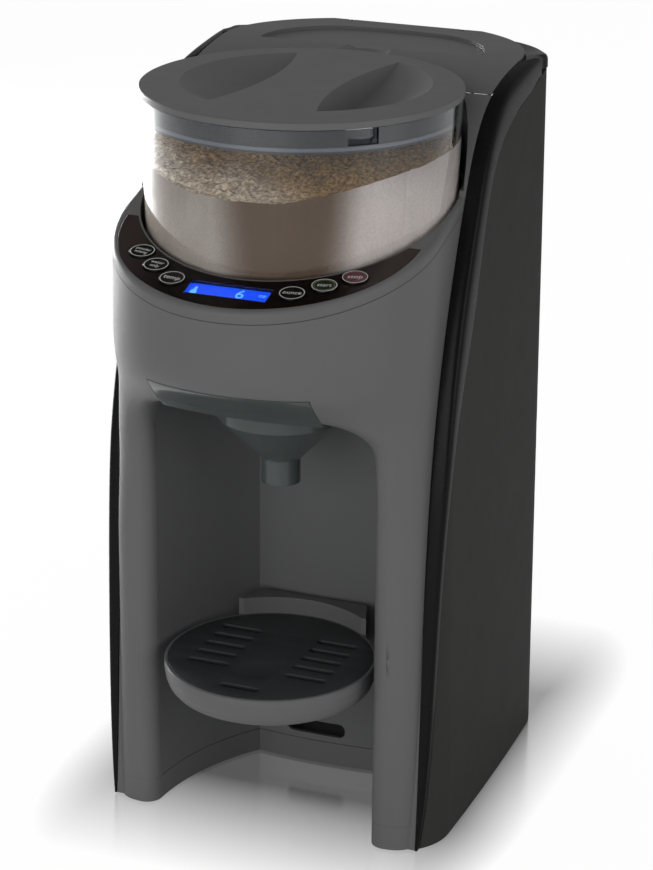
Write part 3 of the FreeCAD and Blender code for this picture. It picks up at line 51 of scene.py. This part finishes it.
# ---------------------------------------------------------------- powder container
bowl_low, bowl_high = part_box("powder_container")
AXIS_Y = (bowl_low.y + bowl_high.y) / 2
BOWL_AXIS = (0, AXIS_Y, 0)
BOTTOM_R, TOP_R = 0.0740, 0.0771    # inside of the container's wall

# ---------------------------------------------------------------- powder
POWDER_SIDES, POWDER_RINGS = 320, 72
POWDER_R = BOTTOM_R + 0.0005        # the powder presses a little into the wall, so that no gap shows
POWDER_FOOT = 0.0062                # its underside over the container's foot
PEAK_Z, HEAP_CURVE = 0.3535, 1.7    # top of the heap, and how round it falls towards the wall
RIM_LOW_Z, RIM_RISE = 0.3416, 0.018  # lowest line along the wall, and the scale of its rise
RIM_LOW_AT = math.radians(-88.0)    # the lowest place is in front
RIGHT_PACE, LEFT_PACE, RIM_BEND = 1.5, 0.9, 2.2     # how soon the line rises to either side
TOP_FROM_Z = 0.33                   # what is higher belongs to the loose top
LAST_RING = 0.02                    # share of the ring before it that the innermost ring keeps
RIM_WIDTH, RIM_ROUGH = 0.0005, 0.30  # the line along the wall moves less than the rest
LOOSE_FROM = 0.2                    # faces that look up by more than this show loose crumbs

# ---------------------------------------------------------------- control panel
PANEL_SLOPE = 0.2858                # it rises towards the back
PANEL_Z = 0.3276                    # height of the panel's plane at the container's axis
PANEL_TILT = math.atan(PANEL_SLOPE)
PANEL_NORMAL = Vector((0, -PANEL_SLOPE, 1)).normalized()
LABEL_FAN = 3.2                     # turn of a button's word, in radians for each metre off the middle
LINE_OVAL, LINE_THICK = (0.0060, 0.0051), 0.00040   # white line round each button's word
INNER_OVAL, INNER_THICK = (0.0050, 0.0042), 0.00028  # second line on the start and stop buttons
TINT_OVAL = (0.0046, 0.0038)        # tinted field inside that line
MARK_LIFT, TINT_LIFT = 0.00005, 0.00001     # over the button's top
LETTER_THICK, DISC_THICK = 0.00003, 0.00006
DISPLAY_ROW_Y = -0.0903             # middle of the display's signs, from the container's axis
DISPLAY_DEPTH = -0.00216            # the signs lie under the panel's plane, behind the pane

# ---------------------------------------------------------------- drip grille
DISH_Y = AXIS_Y - 0.0573
DISH_R, DISH_DEPTH = 0.0115, 0.0016
PLUG_R = 0.0078                     # closes the plain drain hole under the dish
PLUG_THINNER, PLUG_LOWER = 0.0003, 0.0001   # than the grille, so that no faces coincide

# ---------------------------------------------------------------- light and stage
WORLD_LIGHT = 0.52                  # on matt surfaces
WORLD_SHEEN = 0.12                  # in reflections, away from the backdrop
BACKDROP_SEEN = 0.85                # of the white backdrop, through clear plastic
BACKDROP_SHEEN = 0.25               # and in reflections
BACKDROP_TOP = 0.45, 0.65           # it fades upwards, between these heights of a ray's direction
BACKDROP_FRONT = 0.10, 0.35         # and towards the front, between these depths of it
FLOOR_REACH = 8.0
FLOOR_WHITE = 0.97                  # share of plain white in what the camera sees of the floor
MIRROR_SHARE, MIRROR_REACH = 0.93, 0.105    # of the floor at the object's foot, gone this far out
FOOT_MIDDLE, FOOT_HALF = (0, 0.0485, 0), (0.088, 0.0815, 0)     # outline on the floor
SIDE_FADE = (2.6, 1, 1)             # the mirror image fades faster to the left and right


# ---------------------------------------------------------------- camera
def make_camera():
    """Camera in front and to the right, looking down."""
    place = Matrix.Translation((0.51164, -1.28649, 0.70296))
    yaw, pitch, roll = math.radians(21.515), math.radians(20.336), math.radians(0.484)
    data = bpy.data.cameras.new("camera")
    data.sensor_fit = "AUTO"
    data.sensor_width = 36.0
    data.lens = 117.5
    camera = bpy.data.objects.new("camera", data)
    turn = Euler((math.pi / 2 - pitch, 0, yaw)).to_matrix() @ Matrix.Rotation(roll, 3, "Z")
    camera.matrix_world = place @ turn.to_4x4()
    bpy.context.scene.collection.objects.link(camera)
    bpy.context.scene.camera = camera


# ---------------------------------------------------------------- shader nodes
def material(name):
    made = bpy.data.materials.new(name)
    made.use_nodes = True
    return made, made.node_tree, made.node_tree.nodes["Principled BSDF"]


def link(tree, source, target):
    tree.links.new(source, target)


def object_noise(tree, scale, detail=4.0, rough=0.6, stretch=(1, 1, 1)):
    """Noise on the piece's own Object coordinates, in metres."""
    place = tree.nodes.new("ShaderNodeTexCoord")
    mapping = tree.nodes.new("ShaderNodeMapping")
    mapping.inputs["Scale"].default_value = stretch
    noise = tree.nodes.new("ShaderNodeTexNoise")
    noise.inputs["Scale"].default_value = scale
    noise.inputs["Detail"].default_value = detail
    noise.inputs["Roughness"].default_value = rough
    link(tree, place.outputs["Object"], mapping.inputs["Vector"])
    link(tree, mapping.outputs["Vector"], noise.inputs["Vector"])
    return noise.outputs["Fac"]


def ranged(tree, value, low, high, start=0.35, end=0.65):
    """A value carried from one range to another."""
    node = tree.nodes.new("ShaderNodeMapRange")
    node.inputs["From Min"].default_value = start
    node.inputs["From Max"].default_value = end
    node.inputs["To Min"].default_value = low
    node.inputs["To Max"].default_value = high
    link(tree, value, node.inputs["Value"])
    return node.outputs["Result"]


def blended(tree, value, first, second, kind="MIX"):
    """A colour between two, by a value; each is a plain colour or another node's."""
    node = tree.nodes.new("ShaderNodeMix")
    node.data_type = "RGBA"
    node.blend_type = kind
    for port, color in (("A", first), ("B", second)):
        if isinstance(color, tuple):
            node.inputs[port].default_value = (*color, 1)
        else:
            link(tree, color, node.inputs[port])
    link(tree, value, node.inputs["Factor"])
    return node.outputs["Result"]


def maths(tree, operation, *values, clamp=False):
    """One sum over numbers and other nodes' values."""
    node = tree.nodes.new("ShaderNodeMath")
    node.operation = operation
    node.use_clamp = clamp
    for port, value in enumerate(values):
        if isinstance(value, float):
            node.inputs[port].default_value = value
        else:
            link(tree, value, node.inputs[port])
    return node.outputs["Value"]


def vectors(tree, operation, value, other=None, result="Vector"):
    """One sum over a node's vector and a plain one."""
    node = tree.nodes.new("ShaderNodeVectorMath")
    node.operation = operation
    link(tree, value, node.inputs[0])
    if other is not None:
        node.inputs[1].default_value = other
    return node.outputs[result]


def mixed_shader(tree, share, first, second):
    """One shader turning into another by a share."""
    mix = tree.nodes.new("ShaderNodeMixShader")
    link(tree, share, mix.inputs["Fac"])
    link(tree, first, mix.inputs[1])
    link(tree, second, mix.inputs[2])
    return mix.outputs["Shader"]


def along(tree, direction, low, high, start=(0, 0, 0)):
    """0 to 1 as a point goes from one distance to another along a direction, in metres."""
    place = tree.nodes.new("ShaderNodeTexCoord")
    offset = vectors(tree, "SUBTRACT", place.outputs["Object"], start)
    share = ranged(tree, vectors(tree, "DOT_PRODUCT", offset, direction, "Value"), 0.0, 1.0, low, high)
    share.node.interpolation_type = "SMOOTHSTEP"
    return share


def bumped(tree, height, strength, distance, edge=0.0):
    """Bump from a height, over edges softened by a small radius."""
    bump = tree.nodes.new("ShaderNodeBump")
    bump.inputs["Strength"].default_value = strength
    bump.inputs["Distance"].default_value = distance
    link(tree, height, bump.inputs["Height"])
    if edge:
        bevel = tree.nodes.new("ShaderNodeBevel")
        bevel.samples = 6
        bevel.inputs["Radius"].default_value = edge
        link(tree, bevel.outputs["Normal"], bump.inputs["Normal"])
    return bump.outputs["Normal"]


# ---------------------------------------------------------------- materials
def moulded(name, color, rough=0.5, grain=3500.0, depth=0.10, vary=0.06, edge=0.0005, specular=0.5):
    """Moulded plastic: fine grain, uneven gloss and slightly clouded colour."""
    made, tree, shader = material(name)
    cloud = object_noise(tree, scale=22.0, detail=5.0)
    dark = tuple(c * (1 - vary) for c in color)
    light = tuple(c * (1 + vary) for c in color)
    link(tree, blended(tree, cloud, dark, light), shader.inputs["Base Color"])
    smear = object_noise(tree, scale=60.0, detail=6.0, rough=0.7)
    link(tree, ranged(tree, smear, rough * 0.95, rough * 1.05), shader.inputs["Roughness"])
    height = object_noise(tree, grain, detail=2.0)
    link(tree, bumped(tree, height, depth, 0.0002, edge), shader.inputs["Normal"])
    shader.inputs["Specular IOR Level"].default_value = specular
    return made


def printed(name, color, rough=0.5):
    """Paint of a line, a word or a tint: no grain and no softened edges."""
    return moulded(name, color, rough, depth=0.0, edge=0.0)


def clear_plastic(name, color, rough, ior=1.45):
    """Clear plastic that lamp light passes straight through."""
    made, tree, shader = material(name)
    shader.inputs["Base Color"].default_value = (*color, 1)
    shader.inputs["Transmission Weight"].default_value = 1.0
    shader.inputs["IOR"].default_value = ior
    smear = object_noise(tree, scale=40.0)
    link(tree, ranged(tree, smear, rough * 0.6, rough * 1.4), shader.inputs["Roughness"])
    path = tree.nodes.new("ShaderNodeLightPath")
    clear = tree.nodes.new("ShaderNodeBsdfTransparent")
    clear.inputs["Color"].default_value = (0.95, 0.95, 0.95, 1)
    lit = mixed_shader(tree, path.outputs["Is Shadow Ray"], shader.outputs["BSDF"], clear.outputs["BSDF"])
    link(tree, lit, tree.nodes["Material Output"].inputs["Surface"])
    return made


def smoked_plastic():
    """Translucent grey-green moulding: part of the light passes, part is scattered."""
    made = moulded("smoke_plastic", (0.108, 0.124, 0.121), 0.12, depth=0.0, vary=0.03)
    shader = made.node_tree.nodes["Principled BSDF"]
    shader.inputs["Transmission Weight"].default_value = 0.40
    shader.inputs["IOR"].default_value = 1.40
    return made


def metal(name, color, rough):
    """Bare metal with fine uneven streaks."""
    made, tree, shader = material(name)
    shader.inputs["Metallic"].default_value = 1.0
    cloud = object_noise(tree, scale=400.0, detail=3.0, stretch=(1, 1, 12))
    link(tree, blended(tree, cloud, tuple(c * 0.85 for c in color), color), shader.inputs["Base Color"])
    link(tree, ranged(tree, cloud, rough * 0.8, rough * 1.3), shader.inputs["Roughness"])
    return made


def glowing(name, low, high):
    """Lit display surface, a little uneven."""
    made, tree, shader = material(name)
    shader.inputs["Base Color"].default_value = (0.0, 0.0, 0.0, 1)
    shader.inputs["Roughness"].default_value = 0.4
    cloud = object_noise(tree, scale=30.0, detail=2.0)
    link(tree, blended(tree, cloud, low, high), shader.inputs["Emission Color"])
    shader.inputs["Emission Strength"].default_value = 1.0
    return made


def fascia_gloss():
    """Black-brown gloss of the control panel, with a painted reflection: lighter brown towards its two
    ends.
    """
    made = moulded("panel_gloss", (0.0055, 0.0035, 0.0030), 0.12, depth=0.0, vary=0.05, specular=0.10)
    tree = made.node_tree
    color = tree.nodes["Principled BSDF"].inputs["Base Color"]
    middle = color.links[0].from_socket
    # Painted reflection: the colour turns lighter brown towards both ends of the panel.
    right = along(tree, (1, 0, 0), 0.048, 0.072)
    left = along(tree, (-1, 0, 0), 0.030, 0.068)
    painted_tip_sheen = maths(tree, "MAXIMUM", right, left)
    link(tree, blended(tree, painted_tip_sheen, middle, (0.034, 0.024, 0.022)), color)
    return made


def crumb_material():
    """Loose top of the powder: cream clumps at the front left, golden ones towards the middle."""
    made, tree, shader = material("powder_crumbs")
    crumbs = object_noise(tree, scale=520.0, detail=3.0)
    # Partly the clumps' own uneven tone, partly painted shade: the colour follows the bump's height,
    # darker in its hollows.
    height = ranged(tree, crumbs, 0, 1, 0.38, 0.62)
    cream = blended(tree, height, (0.30, 0.22, 0.13), (0.80, 0.70, 0.56))
    golden = blended(tree, height, (0.13, 0.068, 0.016), (0.42, 0.25, 0.085))
    patches = ranged(tree, object_noise(tree, scale=26.0, detail=2.0), 0.0, 1.0, 0.42, 0.60)
    middle = along(tree, (0.40, 0.92, 0), -0.066, -0.034, BOWL_AXIS)
    share = maths(tree, "MULTIPLY_ADD", patches, 0.35, middle, clamp=True)
    link(tree, blended(tree, share, cream, golden), shader.inputs["Base Color"])
    link(tree, ranged(tree, crumbs, 0.8, 1.0), shader.inputs["Roughness"])
    link(tree, bumped(tree, crumbs, 0.6, 0.0006), shader.inputs["Normal"])
    shader.inputs["Specular IOR Level"].default_value = 0.15
    return made


def packed_material():
    """Side of the powder, pressed smooth against the wall. Its colour holds painted light: lighter to the
    right, where the light falls, and darker brown in front as painted shade.
    """
    made, tree, shader = material("powder_side")
    grain = object_noise(tree, scale=900.0, rough=0.7)
    cloud = ranged(tree, object_noise(tree, scale=30.0, detail=3.0), 0, 1)
    # Painted light: one powder in two tones, shaded on the left and lit on the right, blended from left
    # to right.
    left = blended(tree, cloud, (0.40, 0.36, 0.32), (0.45, 0.41, 0.37))
    right = blended(tree, cloud, (0.66, 0.61, 0.59), (0.72, 0.67, 0.65))
    painted_light_to_right = blended(tree, along(tree, (1, 0, 0), -0.050, 0.055), left, right)
    # Painted shade: the side facing the front turns dark brown.
    front = along(tree, (0.28, -0.96, 0), 0.0665, 0.0745, BOWL_AXIS)
    base = blended(tree, front, painted_light_to_right, (0.150, 0.105, 0.074))
    specks = ranged(tree, grain, 0, 1, 0.45, 0.6)
    link(tree, blended(tree, specks, base, (0.90, 0.88, 0.85), "MULTIPLY"), shader.inputs["Base Color"])
    link(tree, ranged(tree, grain, 0.85, 1.0), shader.inputs["Roughness"])
    shader.inputs["Specular IOR Level"].default_value = 0.1
    return made


def make_materials():
    """Every finish, by its name: the record's material slots, the marks and the powder."""
    return {
        "shell_grey": moulded("shell_grey", (0.118, 0.118, 0.119), 0.42, vary=0.02, specular=0.18),
        "panel_dark": moulded("panel_dark", (0.038, 0.038, 0.037), 0.60, vary=0.02, specular=0.03),
        "trim_black": moulded("trim_black", (0.0060, 0.0064, 0.0060), 0.28, depth=0.02, vary=0.03,
                              specular=0.10),
        "liner_dark": moulded("liner_dark", (0.120, 0.121, 0.123), 0.5, vary=0.02, specular=0.12),
        "panel_gloss": fascia_gloss(),
        "button_black": moulded("button_black", (0.0045, 0.0035, 0.0035), 0.14, depth=0.0, vary=0.05,
                                specular=0.3),
        "display_glass": clear_plastic("display_glass", (0.95, 0.97, 1.0), 0.02, ior=1.15),
        "display_blue": glowing("display_blue", (0.0035, 0.058, 0.86), (0.006, 0.090, 1.0)),
        "display_mark": glowing("display_mark", (0.12, 0.50, 1.0), (0.16, 0.58, 1.0)),
        "clear_plastic": clear_plastic("clear_plastic", (0.97, 0.97, 0.975), 0.015),
        "smoke_plastic": smoked_plastic(),
        "skirt_grey": moulded("skirt_grey", (0.024, 0.029, 0.035), 0.30, depth=0.0, vary=0.02, edge=0.0,
                              specular=0.2),
        "grille_black": moulded("grille_black", (0.034, 0.037, 0.038), 0.45, specular=0.4),
        "inner_plastic": moulded("inner_plastic", (0.25, 0.25, 0.26), 0.5),
        "gear_nylon": moulded("gear_nylon", (0.70, 0.69, 0.62), 0.45),
        "white_plastic": moulded("white_plastic", (0.72, 0.72, 0.70), 0.4),
        "mark_white": printed("mark_white", (0.55, 0.55, 0.54)),
        "mark_green": printed("mark_green", (0.16, 0.20, 0.11)),
        "mark_red": printed("mark_red", (0.30, 0.10, 0.12)),
        "tint_green": printed("tint_green", (0.010, 0.020, 0.006), 0.3),
        "tint_red": printed("tint_red", (0.085, 0.012, 0.020), 0.3),
        "rubber_black": moulded("rubber_black", (0.015, 0.015, 0.015), 0.8, grain=2000.0),
        "silicone": moulded("silicone", (0.10, 0.12, 0.15), 0.4),
        "steel": metal("steel", (0.55, 0.55, 0.56), 0.3),
        "zinc": metal("zinc", (0.50, 0.50, 0.49), 0.4),
        "board_green": moulded("board_green", (0.02, 0.11, 0.04), 0.35),
        "bronze": metal("bronze", (0.55, 0.36, 0.17), 0.35),
        "aluminium": metal("aluminium", (0.62, 0.62, 0.63), 0.4),
        "powder_side": packed_material(),
        "powder_crumbs": crumb_material(),
    }


# ---------------------------------------------------------------- pieces
def select_only(piece):
    bpy.ops.object.select_all(action="DESELECT")
    piece.select_set(True)
    bpy.context.view_layer.objects.active = piece


def finish_piece(piece, name, body, slot, material_used, *replaced):
    """Name, material and body of a finished piece, and the nodes that it stands for, which are hidden.
    The slot is not used.
    """
    piece.name = name
    piece.data.name = name
    piece.data.materials.clear()
    piece.data.materials.append(material_used)
    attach(piece, body)
    if replaced:
        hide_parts(*replaced)


def settle(piece, place):
    """Carry a piece drawn round the origin to its place and keep its object at the origin."""
    piece.matrix_world = place
    select_only(piece)
    bpy.ops.object.transform_apply(location=True, rotation=True, scale=True)
    return piece


# ---------------------------------------------------------------- powder
def powder_rim(angle):
    """Height at which the powder meets the wall: lowest in front, rising sooner to the right."""
    turn = (angle - RIM_LOW_AT + math.pi) % (2 * math.pi) - math.pi
    away = math.sin(min(math.pi, turn * RIGHT_PACE if turn > 0 else -turn * LEFT_PACE) / 2) ** 2
    return RIM_LOW_Z + RIM_RISE * (1 - math.exp(-RIM_BEND * away))


def heap_powder(mesh):
    """Raise the flat top to a heap and lean the side along the container's wall."""
    wall_slope = (TOP_R - BOTTOM_R) / (bowl_high.z - bowl_low.z)
    for vertex in mesh.vertices:
        if vertex.co.z > TOP_FROM_Z:
            x, y = vertex.co.x, vertex.co.y - AXIS_Y
            share = min(1.0, math.hypot(x, y) / POWDER_R)
            z = PEAK_Z + (powder_rim(math.atan2(y, x)) - PEAK_Z) * share ** HEAP_CURVE
            spread = (POWDER_R + wall_slope * (z - bowl_low.z)) / POWDER_R
            vertex.co = (x * spread, AXIS_Y + y * spread, z)


def make_powder(mats):
    """Heaped powder that fills the container up to a sloping, clumpy top."""
    bottom_z = bowl_low.z + POWDER_FOOT
    bpy.ops.mesh.primitive_circle_add(vertices=POWDER_SIDES, radius=POWDER_R, fill_type="NGON",
                                      location=(0, AXIS_Y, bottom_z))
    piece = bpy.context.object
    bpy.ops.object.mode_set(mode="EDIT")
    bpy.ops.mesh.normals_make_consistent(inside=False)
    bpy.ops.mesh.extrude_region_move(TRANSFORM_OT_translate={"value": (0, 0, RIM_LOW_Z - bottom_z)})
    for left in range(POWDER_RINGS, 0, -1):
        bpy.ops.mesh.extrude_region_move()
        share = max(LAST_RING, (left - 1) / left)
        bpy.ops.transform.resize(value=(share, share, 1))
    bpy.ops.object.mode_set(mode="OBJECT")
    bpy.ops.object.transform_apply(location=True)
    mesh = piece.data
    heap_powder(mesh)
    top = piece.vertex_groups.new(name="top")
    for vertex in mesh.vertices:
        if vertex.co.z > TOP_FROM_Z:
            from_wall = POWDER_R - math.hypot(vertex.co.x, vertex.co.y - AXIS_Y)
            top.add([vertex.index], 1.0 if from_wall > RIM_WIDTH else RIM_ROUGH, "REPLACE")
    for name, scale, strength in (("heaps", 0.016, 0.0040), ("clumps", 0.0034, 0.0038)):
        noise = bpy.data.textures.new(name, "CLOUDS")
        noise.noise_scale = scale
        noise.noise_depth = 3
        rough = piece.modifiers.new(name, "DISPLACE")
        rough.texture = noise
        rough.texture_coords = "LOCAL"
        rough.strength = strength
        rough.mid_level = 0.5
        rough.direction = "Z"
        rough.vertex_group = "top"
        bpy.ops.object.modifier_apply(modifier=name)
    finish_piece(piece, "powder", "container", "white_plastic", mats["powder_side"])
    mesh.materials.append(mats["powder_crumbs"])
    for face in mesh.polygons:
        face.material_index = 1 if face.normal.z > LOOSE_FROM else 0
        face.use_smooth = face.material_index == 0


# ---------------------------------------------------------------- drip grille
def merged_copy(node_name):
    """The node's own mesh with its loose triangles merged, as a new active piece."""
    piece = bpy.data.objects.new(node_name + "_dressed", nodes[node_name].data.copy())
    bpy.context.scene.collection.objects.link(piece)
    select_only(piece)
    bpy.ops.object.mode_set(mode="EDIT")
    bpy.ops.mesh.select_all(action="SELECT")
    bpy.ops.mesh.remove_doubles(threshold=0.000002)
    bpy.ops.object.mode_set(mode="OBJECT")
    return piece


def boolean(piece, operation, tool):
    """Join a tool to a piece or cut it away, and remove the tool."""
    bpy.context.view_layer.objects.active = piece
    change = piece.modifiers.new(operation, "BOOLEAN")
    change.operation = operation
    change.solver = "EXACT"
    change.object = tool
    bpy.ops.object.modifier_apply(modifier=operation)
    bpy.data.objects.remove(tool)
    bpy.ops.object.select_all(action="DESELECT")


def make_grille(mats):
    """Drip grille with softened slots and a shallow dish for the bottle's edge."""
    low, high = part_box("drip_grille")
    ball_r = (DISH_R ** 2 + DISH_DEPTH ** 2) / (2 * DISH_DEPTH)
    piece = merged_copy("drip_grille")
    bpy.ops.object.select_all(action="DESELECT")
    bpy.ops.mesh.primitive_cylinder_add(vertices=64, radius=PLUG_R, depth=high.z - low.z - PLUG_THINNER,
                                        location=(0, DISH_Y, (high.z + low.z) / 2 - PLUG_LOWER))
    boolean(piece, "UNION", bpy.context.object)
    bpy.ops.mesh.primitive_uv_sphere_add(segments=96, ring_count=96, radius=ball_r,
                                         location=(0, DISH_Y, high.z - DISH_DEPTH + ball_r))
    boolean(piece, "DIFFERENCE", bpy.context.object)
    select_only(piece)
    soft = piece.modifiers.new("soft_edges", "BEVEL")
    soft.width = 0.0003
    soft.segments = 2
    soft.limit_method = "ANGLE"
    soft.angle_limit = math.radians(45)
    bpy.ops.object.modifier_apply(modifier="soft_edges")
    bpy.ops.object.shade_smooth_by_angle(angle=math.radians(35))
    finish_piece(piece, "drip_grille_top", "grille", "grille_black", mats["grille_black"], "drip_grille")


# ---------------------------------------------------------------- button and display marks
def words(text, size):
    """Flat raised lettering round the origin."""
    bpy.ops.object.select_all(action="DESELECT")
    bpy.ops.object.text_add(location=(0, 0, 0))
    label = bpy.context.object
    label.data.body = text
    label.data.size = size
    label.data.align_x = "CENTER"
    label.data.align_y = "CENTER"
    label.data.extrude = LETTER_THICK
    label.data.resolution_u = 3
    bpy.ops.object.convert(target="MESH")
    return bpy.context.object


def oval_ring(half, thick):
    """Thin raised oval line round the origin."""
    bpy.ops.object.select_all(action="DESELECT")
    bpy.ops.mesh.primitive_torus_add(major_radius=half[0], minor_radius=thick / 2, major_segments=72,
                                     minor_segments=8, location=(0, 0, 0))
    bpy.ops.object.mode_set(mode="EDIT")
    bpy.ops.transform.resize(value=(1, half[1] / half[0], 0.35))
    bpy.ops.object.mode_set(mode="OBJECT")
    return bpy.context.object


def oval_disc(half):
    """Thin oval plate with softened edges round the origin."""
    bpy.ops.object.select_all(action="DESELECT")
    bpy.ops.mesh.primitive_cylinder_add(vertices=64, radius=half[0], depth=DISC_THICK, location=(0, 0, 0))
    disc = bpy.context.object
    bpy.ops.object.mode_set(mode="EDIT")
    bpy.ops.transform.resize(value=(1, half[1] / half[0], 1))
    bpy.ops.object.mode_set(mode="OBJECT")
    soft = disc.modifiers.new("soft", "BEVEL")
    soft.width = DISC_THICK * 0.4
    soft.segments = 2
    soft.limit_method = "ANGLE"
    bpy.ops.object.modifier_apply(modifier="soft")
    return disc


def cap_top(node_name):
    """Middle of a button's flat top."""
    points = [v.co for v in nodes[node_name].data.vertices]
    reach = max(point.dot(PANEL_NORMAL) for point in points)
    flat = [point for point in points if point.dot(PANEL_NORMAL) > reach - 0.00002]
    return sum(flat, Vector()) / len(flat)


def tilted(point, height):
    """Place parallel to the control panel, at a height over a point."""
    return Matrix.Translation(point + PANEL_NORMAL * height) @ Matrix.Rotation(PANEL_TILT, 4, "X")


def on_display(x, y):
    """Place on the display behind its pane, measured from the container's axis and the row's middle."""
    y += DISPLAY_ROW_Y
    return tilted(Vector((x, AXIS_Y + y, PANEL_Z + PANEL_SLOPE * y)), DISPLAY_DEPTH)


def make_button_marks(mats):
    """White oval line and a plain function word on each button; start and stop are tinted."""
    labels = {"button_powder_setting": ("powder\nsetting", 0.0026),
              "button_water_only": ("water\nonly", 0.0030),
              "button_temperature": ("temp", 0.0043), "button_ounces": ("ounce", 0.0038),
              "button_start": ("start", 0.0038), "button_stop": ("stop", 0.0042)}
    for name, (text, size) in labels.items():
        top = cap_top(name)
        place = tilted(top, MARK_LIFT)
        turn = Matrix.Rotation(LABEL_FAN * top.x, 4, "Z")
        line = settle(oval_ring(LINE_OVAL, LINE_THICK), place)
        label = settle(words(text, size), place @ turn)
        select_only(line)
        label.select_set(True)
        bpy.ops.object.join()
        finish_piece(line, name + "_mark", name, "white_plastic", mats["mark_white"])
    for name, color in (("button_start", "green"), ("button_stop", "red")):
        place = tilted(cap_top(name), TINT_LIFT)
        tint = settle(oval_disc(TINT_OVAL), place)
        finish_piece(tint, name + "_tint", name, "button_black", mats["tint_" + color])
        line = settle(oval_ring(INNER_OVAL, INNER_THICK), place)
        finish_piece(line, name + "_line", name, "button_black", mats["mark_" + color])


def make_display_marks(mats):
    """Digit, unit and a small bottle sign behind the display's pane."""
    digit = settle(words("6", 0.0098), on_display(0.0056, 0.0))
    unit = settle(words("oz", 0.0040), on_display(0.0166, 0.0012))
    bottle = settle(oval_disc((0.0017, 0.0022)), on_display(-0.0176, -0.0022))
    neck = settle(oval_disc((0.0008, 0.0016)), on_display(-0.0174, 0.0008))
    for name, piece in (("display_digit", digit), ("display_unit", unit), ("display_sign", bottle),
                        ("display_sign_neck", neck)):
        finish_piece(piece, name, "housing", "display_blue", mats["display_mark"])


# ---------------------------------------------------------------- stage and light
def mirror_share(tree):
    """How much the floor mirrors: most at the object's foot, none further out."""
    place = tree.nodes.new("ShaderNodeTexCoord")
    offset = vectors(tree, "ABSOLUTE", vectors(tree, "SUBTRACT", place.outputs["Object"], FOOT_MIDDLE))
    outside = vectors(tree, "MAXIMUM", vectors(tree, "SUBTRACT", offset, FOOT_HALF), (0, 0, 0))
    away = vectors(tree, "LENGTH", vectors(tree, "MULTIPLY", outside, SIDE_FADE), result="Value")
    return ranged(tree, away, MIRROR_SHARE, 0.0, 0.0, MIRROR_REACH)


def make_stage():
    """White floor: it takes light and shadow, and mirrors the object softly beside its foot."""
    bpy.ops.mesh.primitive_plane_add(size=2 * FLOOR_REACH, location=(0, 0, 0))
    floor = bpy.context.object
    floor.name = "floor"
    made, tree, shader = material("floor")
    shader.inputs["Base Color"].default_value = (0.86, 0.86, 0.86, 1)
    shader.inputs["Roughness"].default_value = 0.6
    white = tree.nodes.new("ShaderNodeEmission")
    white.inputs["Color"].default_value = (1, 1, 1, 1)
    gloss = tree.nodes.new("ShaderNodeBsdfGlossy")
    gloss.inputs["Color"].default_value = (1, 1, 1, 1)
    gloss.inputs["Roughness"].default_value = 0.16
    camera_ray = tree.nodes.new("ShaderNodeLightPath").outputs["Is Camera Ray"]
    seen = maths(tree, "MULTIPLY", camera_ray, FLOOR_WHITE)
    plain = mixed_shader(tree, seen, shader.outputs["BSDF"], white.outputs["Emission"])
    share = maths(tree, "MULTIPLY", camera_ray, mirror_share(tree))
    mirrored = mixed_shader(tree, share, plain, gloss.outputs["BSDF"])
    link(tree, mirrored, tree.nodes["Material Output"].inputs["Surface"])
    floor.data.materials.append(made)


def make_world():
    """White behind the object; soft grey light from everywhere else."""
    world = bpy.data.worlds.new("studio")
    bpy.context.scene.world = world
    world.use_nodes = True
    tree = world.node_tree
    soft = tree.nodes["Background"]
    soft.inputs["Color"].default_value = (1, 1, 1, 1)
    white = tree.nodes.new("ShaderNodeBackground")
    rays = tree.nodes.new("ShaderNodeLightPath").outputs
    level = maths(tree, "MULTIPLY_ADD", rays["Is Diffuse Ray"], WORLD_LIGHT - WORLD_SHEEN, WORLD_SHEEN)
    link(tree, level, soft.inputs["Strength"])
    bounced = maths(tree, "MAXIMUM", maths(tree, "MULTIPLY", rays["Is Glossy Ray"], BACKDROP_SHEEN),
                    maths(tree, "MULTIPLY", rays["Is Transmission Ray"], BACKDROP_SEEN))
    split = tree.nodes.new("ShaderNodeSeparateXYZ")
    link(tree, tree.nodes.new("ShaderNodeTexCoord").outputs["Generated"], split.inputs["Vector"])
    low = ranged(tree, split.outputs["Z"], 1.0, 0.0, *BACKDROP_TOP)
    behind = ranged(tree, split.outputs["Y"], 0.0, 1.0, *BACKDROP_FRONT)
    shown = maths(tree, "MULTIPLY", bounced, maths(tree, "MULTIPLY", low, behind))
    share = maths(tree, "MAXIMUM", rays["Is Camera Ray"], shown)
    both = mixed_shader(tree, share, soft.outputs["Background"], white.outputs["Background"])
    link(tree, both, tree.nodes["World Output"].inputs["Surface"])


def make_lamp(name, place, aim_z, size, power):
    """Rectangular lamp that points at a height on the object's middle line."""
    data = bpy.data.lights.new(name, "AREA")
    data.shape = "RECTANGLE"
    data.size, data.size_y = size
    data.energy = power
    lamp = bpy.data.objects.new(name, data)
    lamp.location = place
    lamp.rotation_euler = (Vector(place) - Vector((0, 0, aim_z))).to_track_quat("Z", "Y").to_euler()
    bpy.context.scene.collection.objects.link(lamp)


def main():
    mats = make_materials()
    slots = {part["node"]: part["material_slot"] for part in frame["record"]["subparts"]}
    slots["base_plate"] = "shell_grey"      # the foot has the shell's colour
    for name, node in nodes.items():
        node.data.materials.clear()
        node.data.materials.append(mats[slots[name]])
    bpy.ops.object.select_all(action="DESELECT")
    make_powder(mats)
    make_grille(mats)
    make_button_marks(mats)
    make_display_marks(mats)
    make_stage()
    make_world()
    make_lamp("rim_box", (-1.30, 0.85, 0.36), 0.25, (0.7, 0.6), 30)
    make_lamp("right_box", (1.6, -0.4, 0.5), 0.2, (1.0, 0.9), 5)
    make_lamp("front_box", (-0.3, -2.1, 0.60), 0.2, (1.6, 1.0), 14)
    make_camera()
    bpy.context.scene.view_settings.view_transform = "Standard"


main()
